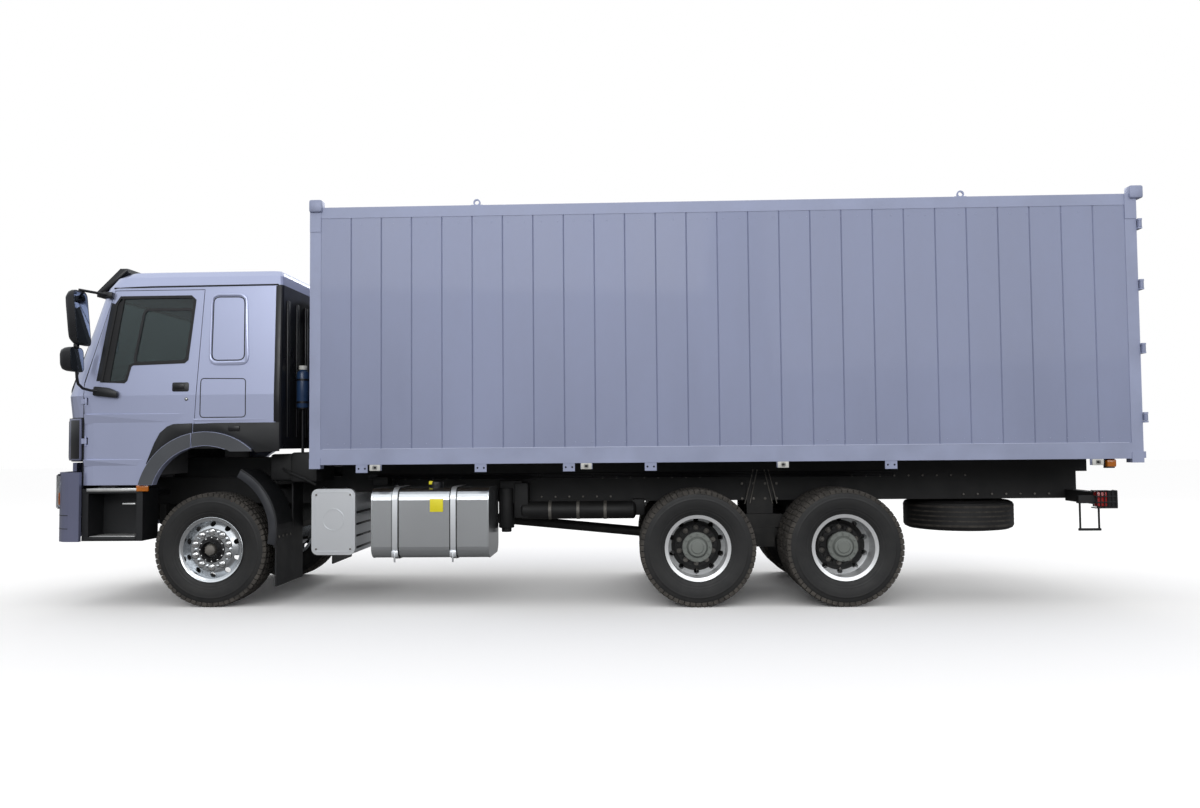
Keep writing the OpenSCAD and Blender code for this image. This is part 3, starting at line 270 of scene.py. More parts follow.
CAB_COLOUR = (0.46, 0.50, 0.70)
BOX_COLOUR = (0.262, 0.292, 0.43)
cab_paint = finish_material("cab_paint", CAB_COLOUR, rough=0.30, metallic=0.45, variation=0.035,
                            scale=0.8, grain=900.0, grain_strength=0.0, coat=0.6, rough_spread=0.02)
box_paint = finish_material("box_paint", BOX_COLOUR, rough=0.46, metallic=0.15, variation=0.07, scale=1.4,
                            grain=260.0, grain_strength=0.08, stretch=(1, 1, 0.35), coat=0.15, dust=0.25)
# A darker copy of the cab's paint: painted shade, for the bumper and the corner deflectors' fronts, which
# stand in shade.
shaded_cab_paint = finish_material("shaded_cab_paint", (0.15, 0.16, 0.25), rough=0.34, metallic=0.3,
                               variation=0.05, scale=1.0, grain=700.0, grain_strength=0.02, coat=0.4,
                               dust=0.05)
box_steel = finish_material("box_steel", (0.325, 0.36, 0.51), rough=0.48, metallic=0.15, variation=0.09,
                            scale=2.5, grain=200.0, grain_strength=0.12, dust=0.4)
frame_black = finish_material("frame_black", (0.0045, 0.0045, 0.005), rough=0.62, variation=0.25,
                              scale=5.0, grain=160.0, grain_strength=0.12, dust=0.05)
axle_black = finish_material("axle_black", (0.014, 0.014, 0.014), rough=0.6, metallic=0.1, variation=0.3,
                             scale=7.0, grain=120.0, grain_strength=0.25, dust=0.2)
engine_metal = finish_material("engine_metal", (0.030, 0.032, 0.033), rough=0.55, metallic=0.5,
                               variation=0.25, scale=6.0, grain=90.0, grain_strength=0.4, dust=0.25)
dark_plastic = finish_material("dark_plastic", (0.007, 0.0075, 0.009), rough=0.5, variation=0.12,
                               scale=5.0, grain=700.0, grain_strength=0.12, dust=0.03)
flare_plastic = finish_material("flare_plastic", (0.070, 0.075, 0.085), rough=0.42, variation=0.08,
                                scale=2.0, grain=500.0, dust=0.08)
black_trim = finish_material("black_trim", (0.007, 0.007, 0.009), rough=0.32, variation=0.12, scale=5.0,
                             grain=500.0, grain_strength=0.06)
rubber = finish_material("rubber", (0.010, 0.010, 0.0105), rough=0.60, scale=12.0, grain=260.0,
                         grain_strength=0.12, dust=0.05)
seal_rubber = finish_material("seal_rubber", (0.008, 0.008, 0.009), rough=0.6, variation=0.1, scale=9.0,
                              grain=300.0)
polished = finish_material("polished", (0.74, 0.76, 0.78), rough=0.26, metallic=1.0, variation=0.04,
                           scale=0.8, grain=60.0, grain_strength=0.03, stretch=(1, 8, 1),
                           rough_spread=0.03)
polished_plate = finish_material("polished_plate", (0.80, 0.82, 0.85), rough=0.36, metallic=0.75,
                                 variation=0.03, scale=1.0, grain=90.0, grain_strength=0.03,
                                 rough_spread=0.04)
bright_steel = finish_material("bright_steel", (0.62, 0.62, 0.60), rough=0.3, metallic=1.0,
                               variation=0.12, scale=8.0, grain=120.0, grain_strength=0.15, dust=0.2)
worn_steel = finish_material("worn_steel", (0.20, 0.19, 0.175), rough=0.6, metallic=0.7, variation=0.3,
                             scale=14.0, grain=120.0, grain_strength=0.4, dust=0.5)
tread_plate = finish_material("tread_plate", (0.72, 0.72, 0.71), rough=0.38, metallic=0.9, variation=0.12,
                              scale=9.0, grain=120.0, grain_strength=0.2, dust=0.1)
white_paint = finish_material("white_paint", (0.60, 0.60, 0.57), rough=0.45, variation=0.08, scale=6.0,
                              grain=200.0, dust=0.3)
yellow_plastic = finish_material("yellow_plastic", (0.85, 0.75, 0.02), rough=0.5, variation=0.05,
                                 scale=6.0, grain=200.0, grain_strength=0.05)
blue_plastic = finish_material("blue_plastic", (0.018, 0.045, 0.11), rough=0.3, variation=0.1, scale=6.0,
                               grain=200.0, grain_strength=0.05)
interior_grey = finish_material("interior_grey", (0.10, 0.10, 0.105), rough=0.75, variation=0.12,
                                scale=5.0, grain=600.0, grain_strength=0.3)
fabric = finish_material("fabric", (0.07, 0.075, 0.09), rough=0.92, variation=0.3, scale=40.0,
                         grain=900.0, grain_strength=0.6)
bunk_fabric = finish_material("bunk_fabric", (0.16, 0.17, 0.22), rough=0.92, variation=0.25, scale=30.0,
                              grain=900.0, grain_strength=0.6)
plywood = finish_material("plywood", (0.16, 0.10, 0.055), rough=0.6, variation=0.3, grain=90.0,
                          grain_strength=0.3, stretch=(0.4, 6, 6))
tread_rubber = finish_material("tread_rubber", (0.040, 0.036, 0.032), rough=0.85, variation=0.35,
                               scale=18.0, grain=260.0, grain_strength=0.4, dust=0.4)
finish_caps = finish_material("finish_caps", (0.20, 0.215, 0.20), rough=0.5, metallic=0.3, variation=0.10,
                              scale=4.0, grain=160.0, dust=0.1)
chrome = finish_material("chrome", (0.80, 0.80, 0.80), rough=0.12, metallic=1.0, variation=0.03,
                         grain=50.0, grain_strength=0.0)
guard_plastic = finish_material("guard_plastic", (0.022, 0.024, 0.030), rough=0.45, variation=0.08,
                                scale=2.0, grain=500.0, dust=0.08)
lamp_reflector = finish_material("lamp_reflector", (0.72, 0.74, 0.77), rough=0.25, metallic=0.5,
                                 variation=0.10, scale=30.0, grain=90.0, grain_strength=0.2)
# A lighter copy of the box's paint, for a thin strip along the sill's top: a painted highlight where it
# catches light.
sill_highlight_paint = finish_material("sill_highlight_paint", (0.50, 0.54, 0.70), rough=0.4, metallic=0.1, variation=0.05,
                              scale=2.0, grain=200.0, grain_strength=0.05)
window_glass = glass_material("window_glass", (0.20, 0.26, 0.26))
clear_lens = glass_material("clear_lens", (0.95, 0.97, 0.98), rough=0.01, clear=0.97)
amber_lens = lamp_lens("amber_lens", (0.85, 0.24, 0.01))
red_lens = lamp_lens("red_lens", (0.55, 0.012, 0.01))
white_lens = lamp_lens("white_lens", (0.8, 0.8, 0.78))
mirror_glass = finish_material("mirror_glass", (0.22, 0.26, 0.32), rough=0.05, metallic=1.0,
                               variation=0.02, grain=50.0, grain_strength=0.0, rough_spread=0.02)
front_wheel_metal = rim_material("front_wheel_metal", AXLE_X,
                                 ((0.066, (0.17, 0.18, 0.18)), (0.126, (0.012, 0.012, 0.013)),
                                  (9, (0.68, 0.70, 0.72))), metallic=1.0, rough=0.24)
rear_wheel_metal = []
for bogie_axle in (1, 2):
    rear_wheel_metal.append(rim_material(f"rear_wheel_metal_{bogie_axle}",
                                         middle(f"rear_tyres_{bogie_axle}_left").x,
                                         ((0.119, (0.20, 0.215, 0.20)), (0.236, (0.030, 0.030, 0.030)),
                                          (9, (0.78, 0.79, 0.80))), metallic=0.5, rough=0.30))

# Frame nodes that show as they are, with their finish
PLAIN = {
    cab_paint: "cab_front cab_roof cab_sides cab_door_left cab_door_right",
    # The bumper in the darker copy of the cab's paint: painted shade.
    shaded_cab_paint: "bumper",
    box_paint: "box_side_walls box_front_wall box_roof rear_door_left rear_door_right",
    box_steel: "box_frame",
    frame_black: "chassis_frame air_tanks rear_lamp_bars",
    axle_black: "front_axle rear_axles leaf_springs propshaft knuckle_left knuckle_right",
    engine_metal: "engine_block",
    polished: "fuel_tank",
    bright_steel: "silencer",
    polished_plate: "battery_box",
    dark_plastic: "steps mudguards front_lid",
    black_trim: "sun_visor steering_wheel cab_back_wall",
    interior_grey: "dashboard cab_floor",
    rubber: "spare_wheel",
    plywood: "box_floor",
    window_glass: "windscreen door_glass_left door_glass_right",
    front_wheel_metal: "front_rim_left front_rim_right",
    rear_wheel_metal[0]: "rear_rims_1_left rear_rims_1_right",
    rear_wheel_metal[1]: "rear_rims_2_left rear_rims_2_right",
    clear_lens: "headlamps",
}
for material, names in PLAIN.items():
    for name in names.split():
        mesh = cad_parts[name].data
        mesh.materials.clear()
        mesh.materials.append(material)


# ----------------------------------------------------------------- shapes
# Edges that turn by more degrees than this stay sharp
SHARP_ANGLE = 32


class Shape:
    """Gathers plain parts of one finish on the left side or the middle, and makes one object of them."""

    def __init__(self, name):
        self.name = name
        self.bm = bmesh.new()

    def take(self, other, matrix=None):
        """Adds a bmesh, moved by a matrix, and frees it."""
        mesh = bpy.data.meshes.new("part")
        other.to_mesh(mesh)
        other.free()
        if matrix is not None:
            mesh.transform(matrix)
        self.bm.from_mesh(mesh)
        bpy.data.meshes.remove(mesh)
        return self

    def block(self, low, high, round_by=0.003, turn=None, segments=2):
        """A box from corner to corner with rounded edges; turn is an axis and an angle, about its middle."""
        low, high = Vector(low), Vector(high)
        part = bmesh.new()
        bmesh.ops.create_cube(part, size=1.0)
        part.transform(Matrix.Diagonal((*(high - low), 1)))
        if round_by:
            bmesh.ops.bevel(part, geom=part.edges[:], offset=round_by, segments=segments, affect="EDGES",
                            profile=0.5)
        spin = Matrix.Identity(4) if turn is None else Matrix.Rotation(turn[1], 4, turn[0])
        return self.take(part, Matrix.Translation((low + high) / 2) @ spin)

    def rod(self, start, end, radius, end_radius=None, sides=24, round_by=0.0):
        """A bar or cone from start to end, with its rims rounded if asked."""
        start, end = Vector(start), Vector(end)
        run = end - start
        part = bmesh.new()
        bmesh.ops.create_cone(part, cap_ends=True, segments=sides, radius1=radius,
                              radius2=radius if end_radius is None else end_radius, depth=run.length)
        if round_by:
            rims = [e for e in part.edges if abs(e.calc_face_angle(0)) > 1.0]
            bmesh.ops.bevel(part, geom=rims, offset=round_by, segments=2, affect="EDGES", profile=0.5)
        turn = run.to_track_quat("Z", "Y").to_matrix().to_4x4()
        return self.take(part, Matrix.Translation((start + end) / 2) @ turn)

    def ball(self, centre, radius, scale=(1, 1, 1)):
        """A ball, or an ellipsoid where it is scaled."""
        part = bmesh.new()
        bmesh.ops.create_uvsphere(part, u_segments=20, v_segments=12, radius=radius)
        return self.take(part, Matrix.Translation(centre) @ Matrix.Diagonal((*scale, 1)))

    def lathe(self, profile, centre, axis="Y", sides=64):
        """Turns (radius, along) points about an axle through centre."""
        part = bmesh.new()
        verts = [part.verts.new((r, 0, a)) for r, a in profile]
        edges = [part.edges.new(pair) for pair in zip(verts, verts[1:])]
        bmesh.ops.spin(part, geom=verts + edges, cent=(0, 0, 0), axis=(0, 0, 1), angle=math.tau,
                       steps=sides, use_duplicate=False)
        bmesh.ops.remove_doubles(part, verts=part.verts[:], dist=1e-5)
        bmesh.ops.recalc_face_normals(part, faces=part.faces[:])
        turn = {"Y": Matrix.Rotation(math.pi / 2, 4, "X"), "X": Matrix.Rotation(math.pi / 2, 4, "Y"),
                "Z": Matrix.Identity(4)}[axis]
        return self.take(part, Matrix.Translation(centre) @ turn)

    def plate(self, outline, low, high, axis="Y", round_by=0.0, holes=()):
        """An outline in X and Z (or in Y and Z, X and Y) given a thickness along the remaining axis."""
        part = bmesh.new()
        place = {"Y": lambda a, b, t: (a, t, b),
                 "X": lambda a, b, t: (t, a, b),
                 "Z": lambda a, b, t: (a, b, t)}[axis]
        rings = []
        for points in (outline, *holes):
            verts = [part.verts.new(place(a, b, low)) for a, b in points]
            rings.append([part.edges.new((v, verts[(i + 1) % len(verts)])) for i, v in enumerate(verts)])
        made = bmesh.ops.triangle_fill(part, edges=[e for ring in rings for e in ring], use_beauty=True,
                                       use_dissolve=True)
        faces = [g for g in made["geom"] if isinstance(g, bmesh.types.BMFace)]
        grown = bmesh.ops.extrude_face_region(part, geom=faces)
        moved = [g for g in grown["geom"] if isinstance(g, bmesh.types.BMVert)]
        shift = Vector(place(0, 0, high)) - Vector(place(0, 0, low))
        bmesh.ops.translate(part, verts=moved, vec=shift)
        bmesh.ops.recalc_face_normals(part, faces=part.faces[:])
        if round_by:
            sharp = [e for e in part.edges if e.is_manifold and e.calc_face_angle(0) > 0.6]
            bmesh.ops.bevel(part, geom=sharp, offset=round_by, segments=2, affect="EDGES", profile=0.5,
                            clamp_overlap=True)
        return self.take(part)

    def tube(self, points, radius, sides=12, closed=False):
        """A round bar or pipe through points."""
        points = [Vector(p) for p in points]
        part = bmesh.new()
        rings = []
        count = len(points)
        for i, point in enumerate(points):
            before = points[i - 1] if i or closed else point
            after = points[(i + 1) % count] if i < count - 1 or closed else point
            along = (after - before).normalized()
            side = along.cross(Vector((0.13, 0.21, 1.0)))
            side = side.normalized() if side.length > 0.05 else along.cross(Vector((1, 0, 0))).normalized()
            over = along.cross(side)
            rings.append([part.verts.new(point + (side * math.cos(a) + over * math.sin(a)) * radius)
                          for a in (math.tau * k / sides for k in range(sides))])
        pairs = list(zip(rings, rings[1:])) + ([(rings[-1], rings[0])] if closed else [])
        for a, b in pairs:
            for k in range(sides):
                part.faces.new((a[k], a[(k + 1) % sides], b[(k + 1) % sides], b[k]))
        if not closed:
            part.faces.new(rings[0][::-1])
            part.faces.new(rings[-1])
        bmesh.ops.recalc_face_normals(part, faces=part.faces[:])
        return self.take(part)

    def repeat(self, part, count, centre, step=(0, 0, 0), turn=(0, 0, 0), material=None, slot=0):
        """Adds copies of another Shape made by the repeat nodes, in that material slot."""
        mesh = repeated(part, count, centre, step, turn, material or bright_steel)
        mesh.polygons.foreach_set("material_index", [slot] * len(mesh.polygons))
        self.bm.from_mesh(mesh)
        bpy.data.meshes.remove(mesh)

    def done(self, body, material, mirror=False, suffix=""):
        """The finished object, on its body; mirror puts it on the right side instead."""
        mesh = bpy.data.meshes.new(self.name)
        self.bm.to_mesh(mesh)
        if mirror:
            mesh.transform(Matrix.Diagonal((1, -1, 1, 1)))
            mesh.flip_normals()
        mesh.polygons.foreach_set("use_smooth", [True] * len(mesh.polygons))
        mesh.set_sharp_from_angle(angle=math.radians(SHARP_ANGLE))
        for one in material if isinstance(material, (list, tuple)) else (material,):
            mesh.materials.append(one)
        obj = bpy.data.objects.new(self.name + suffix, mesh)
        bpy.context.scene.collection.objects.link(obj)
        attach(obj, body)
        return obj

    def pair(self, body, material):
        """The same piece on both sides. A body name with {} in it takes left or right."""
        return [self.done(body.format(side), material, way > 0, "_" + side) for side, way in SIDES]

    def both(self, body, material):
        """One object that holds the left side's parts and their mirror."""
        copy = self.bm.copy()
        mesh = bpy.data.meshes.new("part")
        copy.to_mesh(mesh)
        copy.free()
        mesh.transform(Matrix.Diagonal((1, -1, 1, 1)))
        mesh.flip_normals()
        self.bm.from_mesh(mesh)
        bpy.data.meshes.remove(mesh)
        return self.done(body, material)


def arc_points(cx, cy, radius, start, end, count):
    """Points on an arc, in degrees."""
    steps = [math.radians(start + (end - start) * i / count) for i in range(count + 1)]
    return [(cx + radius * math.cos(a), cy + radius * math.sin(a)) for a in steps]


def rounded_box(x0, x1, y0, y1, radius, count=5):
    """The outline of a box with round corners."""
    return (arc_points(x0 + radius, y0 + radius, radius, 180, 270, count)
            + arc_points(x1 - radius, y0 + radius, radius, 270, 360, count)
            + arc_points(x1 - radius, y1 - radius, radius, 0, 90, count)
            + arc_points(x0 + radius, y1 - radius, radius, 90, 180, count))


# ------------------------------------------- repeats, by Geometry Nodes
def repeat_tree():
    """Copies its input Count times, each moved on by Step and turned on by Turn about Centre."""
    tree = bpy.data.node_groups.new("repeat", "GeometryNodeTree")
    face = tree.interface
    face.new_socket("Geometry", in_out="INPUT", socket_type="NodeSocketGeometry")
    for label, kind in (("Count", "Int"), ("Centre", "Vector"), ("Step", "Vector"), ("Turn", "Vector"),
                        ("Material", "Material")):
        face.new_socket(label, in_out="INPUT", socket_type=f"NodeSocket{kind}")
    face.new_socket("Geometry", in_out="OUTPUT", socket_type="NodeSocketGeometry")
    source = add(tree, "NodeGroupInput")
    points = add(tree, "GeometryNodePoints")
    index = add(tree, "GeometryNodeInputIndex")
    tree.links.new(source.outputs["Count"], points.inputs["Count"])
    moved = add(tree, "ShaderNodeVectorMath", operation="SCALE")
    turned = add(tree, "ShaderNodeVectorMath", operation="SCALE")
    for node, label in ((moved, "Step"), (turned, "Turn")):
        tree.links.new(source.outputs[label], node.inputs[0])
        tree.links.new(index.outputs[0], node.inputs["Scale"])
    place = add(tree, "ShaderNodeVectorMath", operation="ADD")
    tree.links.new(source.outputs["Centre"], place.inputs[0])
    tree.links.new(moved.outputs[0], place.inputs[1])
    tree.links.new(place.outputs[0], points.inputs["Position"])
    copies = add(tree, "GeometryNodeInstanceOnPoints")
    tree.links.new(points.outputs[0], copies.inputs["Points"])
    tree.links.new(source.outputs["Geometry"], copies.inputs["Instance"])
    tree.links.new(turned.outputs[0], copies.inputs["Rotation"])
    real = add(tree, "GeometryNodeRealizeInstances")
    tree.links.new(copies.outputs[0], real.inputs[0])
    paint = add(tree, "GeometryNodeSetMaterial")
    tree.links.new(real.outputs[0], paint.inputs["Geometry"])
    tree.links.new(source.outputs["Material"], paint.inputs["Material"])
    sink = add(tree, "NodeGroupOutput")
    tree.links.new(paint.outputs[0], sink.inputs[0])
    return tree


REPEAT = repeat_tree()


def repeated(shape, count, centre, step, turn, material):
    """The Shape's parts, drawn about the origin, copied by the repeat nodes into plain mesh data."""
    mesh = bpy.data.meshes.new("one")
    shape.bm.to_mesh(mesh)
    holder = bpy.data.objects.new("holder", mesh)
    bpy.context.scene.collection.objects.link(holder)
    modifier = holder.modifiers.new("repeat", "NODES")
    modifier.node_group = REPEAT
    values = {"Count": count, "Centre": tuple(centre), "Step": step, "Turn": turn, "Material": material}
    for item in REPEAT.interface.items_tree:
        if item.in_out == "INPUT" and item.name in values:
            modifier[item.identifier] = values[item.name]
    bpy.context.view_layer.update()
    copies = bpy.data.meshes.new_from_object(holder.evaluated_get(bpy.context.evaluated_depsgraph_get()))
    bpy.data.objects.remove(holder)
    bpy.data.meshes.remove(mesh)
    return copies


# ----------------------------------------------------------------- wheels
HALF_W = TYRE_W / 2
BEAD_R = 0.2865
BLOCKS = 60
STUDS = 10
STUD_R = 0.1675


def tyre_half():
    """Bead to shoulder on the outer side, as (radius, along): a bulging wall with moulded rings."""
    wall = [(BEAD_R, 0.106), (0.301, 0.117), (0.318, 0.124)]
    for i in range(1, 34):
        t = i / 34
        radius = 0.318 + (TYRE_R - 0.034 - 0.318) * t
        swell = math.sin(min(t * 1.45, 1.0) * math.pi / 2)
        bulge = 0.124 + (HALF_W - 0.124) * swell - 0.010 * max(t - 0.72, 0) / 0.28
        ring = 0.0016 if i in (4, 5, 9, 24, 25, 29, 31) else 0.0
        wall.append((radius, bulge + ring))
    wall += [(TYRE_R - 0.032, HALF_W - 0.013), (TYRE_R - 0.022, HALF_W - 0.022),
             (TYRE_R - 0.016, HALF_W - 0.034)]
    return wall


def tyre(shape, centre):
    """A carcass with open grooves between rows of tread blocks."""
    outer = tyre_half()
    inner = [(r, -a) for r, a in reversed(outer)]
    bore = [(BEAD_R + 0.012, -0.07), (BEAD_R + 0.012, 0.07)]
    shape.lathe(outer + inner + bore + [outer[0]], centre, sides=96)
    pitch = math.tau / BLOCKS
    top, floor, half = TYRE_R - 0.0005, TYRE_R - 0.022, TYRE_R * pitch * 0.435
    row = Shape("row")
    for way in (-1, 1):
        lean = ("Z", 0.16 * way)
        row.block((-half, way * 0.118 - 0.026, floor), (half, way * 0.118 + 0.026, top - 0.004), 0.004,
                  lean, 1)
        row.block((-half, way * 0.136 - 0.008, TYRE_R - 0.044),
                  (half, way * 0.136 + 0.007, TYRE_R - 0.009), 0.005, None, 1)
        row.block((-half, way * 0.056 - 0.024, floor), (half, way * 0.056 + 0.024, top), 0.004, lean, 1)
    row.block((-half, -0.022, floor), (half, 0.022, top), 0.004, ("Z", 0.3), 1)
    shape.repeat(row, BLOCKS, centre, turn=(0, pitch, 0), material=tread_rubber, slot=1)


def hex_ring(shape, centre, radius, size, face_y, height, count):
    """Hexagon nuts with washers and stud ends, standing outwards (towards -Y) from face_y."""
    nut = Shape("nut")
    nut.rod((0, face_y, radius), (0, face_y - 0.003, radius), size * 1.3, sides=20)
    nut.rod((0, face_y - 0.003, radius), (0, face_y - height, radius), size, sides=6, round_by=0.0015)
    nut.rod((0, face_y - height, radius), (0, face_y - height - 0.007, radius), size * 0.5, sides=12,
            round_by=0.001)
    shape.repeat(nut, count, centre, turn=(0, math.tau / count, 0))


def valve(shape, centre, radius, face_y):
    """A bent tyre valve below the axle."""
    shape.tube([(centre[0], face_y + 0.03, centre[2] - radius),
                (centre[0], face_y - 0.01, centre[2] - radius),
                (centre[0], face_y - 0.03, centre[2] - radius + 0.02)], 0.004, 8)


def front_wheels():
    """Treads, chrome nuts on dark seats, hub caps and polished rim lips of the steered wheels."""
    y = middle("front_tyre_left").y
    centre = Vector((AXLE_X, y, HUB_Z))
    rolled = Shape("front_tyre_tread")
    tyre(rolled, centre)
    for tyre_piece, (side, _) in zip(rolled.pair("front_wheel_{}", (rubber, tread_rubber)), SIDES):
        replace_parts(tyre_piece, "front_tyre_" + side)
    nuts = Shape("front_wheel_nuts")
    axle = Vector((AXLE_X, 0, HUB_Z))
    disc_y = y - 0.108
    hex_ring(nuts, axle, radius=STUD_R, size=0.0235, face_y=disc_y, height=0.030, count=STUDS)
    hex_ring(nuts, axle, radius=0.112, size=0.007, face_y=disc_y - 0.004, height=0.008, count=12)
    valve(nuts, axle, 0.225, disc_y - 0.01)
    nuts.pair("front_wheel_{}", chrome)
    seats_ring = Shape("front_nut_seats")
    washer = Shape("washer")
    washer.rod((0, disc_y + 0.002, STUD_R), (0, disc_y - 0.002, STUD_R), 0.036, sides=24)
    seats_ring.repeat(washer, STUDS, axle, turn=(0, math.tau / STUDS, 0))
    seats_ring.pair("front_wheel_{}", axle_black)
    cap = Shape("front_hub_cap")
    cap.lathe([(0.0, 0.050), (0.030, 0.049), (0.046, 0.045), (0.054, 0.034), (0.057, 0.0),
               (0.060, -0.004)], axle + Vector((0, y - 0.110, 0)), sides=48)
    hex_ring(cap, axle, radius=0.046, size=0.0055, face_y=y - 0.110 - 0.044, height=0.006, count=6)
    cap.pair("front_wheel_{}", worn_steel)
    lip = Shape("front_rim_lip")
    lip.lathe([(0.300, 0.124), (0.307, 0.128), (0.309, 0.131), (0.306, 0.133), (0.297, 0.129),
               (0.284, 0.118), (0.279, 0.100)], Vector((AXLE_X, y, HUB_Z)), sides=96)
    lip.pair("front_wheel_{}", polished)


def rear_wheels():
    """Treads, nuts and hub flanges of the twin wheels."""
    for n in (1, 2):
        low, high = node_box(f"rear_tyres_{n}_left")
        x = (low.x + high.x) / 2
        ys = (low.y + HALF_W, high.y - HALF_W)
        rolled = Shape(f"rear_tyre_tread_{n}")
        for y in ys:
            tyre(rolled, Vector((x, y, HUB_Z)))
        body = f"rear_wheels_{n}_{{}}"
        for tyre_piece, (side, _) in zip(rolled.pair(body, (rubber, tread_rubber)), SIDES):
            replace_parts(tyre_piece, f"rear_tyres_{n}_{side}")
        meet_y = (ys[0] + ys[1]) / 2
        axle = Vector((x, 0, HUB_Z))
        nuts = Shape(f"rear_wheel_nuts_{n}")
        hex_ring(nuts, axle, radius=STUD_R, size=0.0195, face_y=meet_y - 0.014, height=0.026, count=STUDS)
        valve(nuts, axle, 0.235, meet_y - 0.05)
        nuts.pair(body, worn_steel)
        cap = Shape(f"rear_hub_flange_{n}")
        cap.lathe([(0.0, 0.247), (0.052, 0.246), (0.060, 0.240), (0.062, 0.228)],
                  Vector((x, meet_y, HUB_Z)), sides=48)
        cap.lathe([(0.100, 0.208), (0.134, 0.207), (0.139, 0.202), (0.140, 0.186), (0.128, 0.180),
                   (0.100, 0.180)], Vector((x, meet_y, HUB_Z)), sides=64)
        hex_ring(cap, axle, radius=0.121, size=0.0085, face_y=meet_y - 0.207, height=0.008, count=12)
        cap.pair(body, finish_caps)


def spare_tread():
    """Ribs round the tread of the spare tyre, which lies flat under the frame."""
    low, high = node_box("spare_wheel")
    centre, radius = (low + high) / 2, (high.x - low.x) / 2
    ribs = Shape("spare_tread")
    for k in range(-2, 3):
        z = k * 0.046
        ribs.lathe([(radius - 0.010, z - 0.017), (radius - 0.001, z - 0.014), (radius + 0.0015, z),
                    (radius - 0.001, z + 0.014), (radius - 0.010, z + 0.017)], centre, axis="Z", sides=96)
    ribs.done("chassis", tread_rubber)


front_wheels()
rear_wheels()
spare_tread()


# --------------------------------------------------------------------- cab
def leaned(shape):
    """Tilts parts to lie on the skin that leans in above the waist, cut at the waist to bend along."""
    bmesh.ops.bisect_plane(shape.bm, geom=shape.bm.verts[:] + shape.bm.edges[:] + shape.bm.faces[:],
                           plane_co=(0, 0, WAIST_Z), plane_no=(0, 0, 1))
    for vert in shape.bm.verts:
        vert.co.y += max(vert.co.z - WAIST_Z, 0) * LEAN
    return shape


def side_points(points):
    """An outline in stations and heights, as X and Z in metres."""
    return [(AXLE_X + x, z) for x, z in points]


def strip(shape, points, width, low, high):
    """A flat ribbon of that width along a closed line of (X, Z) points, as a plate along Y."""
    count = len(points)
    inner, outer = [], []
    for i, (x, z) in enumerate(points):
        before, after = points[i - 1], points[(i + 1) % count]
        dx, dz = after[0] - before[0], after[1] - before[1]
        size = math.hypot(dx, dz) or 1
        nx, nz = -dz / size * width / 2, dx / size * width / 2
        inner.append((x + nx, z + nz))
        outer.append((x - nx, z - nz))
    return shape.plate(outer, low, high, holes=(inner,))


def smooth_corners(points, radius):
    """Rounds each corner of a closed outline with a short curve."""
    count = 4
    result = []
    total = len(points)
    for i, point in enumerate(points):
        p = Vector(point)
        a, b = Vector(points[i - 1]), Vector(points[(i + 1) % total])
        reach = min(radius, (a - p).length * 0.45, (b - p).length * 0.45)
        start, end = p + (a - p).normalized() * reach, p + (b - p).normalized() * reach
        for k in range(count + 1):
            t = k / count
            q = start * (1 - t) ** 2 + p * 2 * t * (1 - t) + end * t * t
            result.append((q.x, q.y))
    return result


WINDOW = side_points([(-1.050, 2.140), (-0.930, 2.890), (-0.890, 2.955), (-0.200, 2.955), (-0.165, 2.925),
                      (-0.225, 2.345), (-0.250, 2.325), (-0.745, 2.310), (-0.775, 2.290), (-0.810, 2.155),
                      (-0.825, 2.140)])


def wedge(shape, x0, x1, z, height, proud):
    """A facet that stands out at its top edge, fades downwards and dies out rearwards."""
    y = -SKIN
    corners = [at(x0, y - proud, z), at(x1, y - 0.0005, z), at(x1, y + 0.002, z - height),
               at(x0, y + 0.002, z - height), at(x0, y + 0.002, z + 0.010), at(x1, y + 0.002, z + 0.004)]
    part = bmesh.new()
    v = [part.verts.new(c) for c in corners]
    for face in ((0, 1, 2, 3), (0, 4, 5, 1), (4, 3, 2, 5), (0, 3, 4), (1, 5, 2)):
        part.faces.new([v[i] for i in face])
    bmesh.ops.recalc_face_normals(part, faces=part.faces[:])
    shape.take(part)


def flare_band(outer_from, outer_to, inner_from, inner_to):
    """The flare's face between its two arcs, each from one angle to another."""
    return (arc_points(*ARCH, 0.530, outer_from, outer_to, 30)
            + arc_points(*ARCH, ARCH_R - 0.004, inner_from, inner_to, 30))


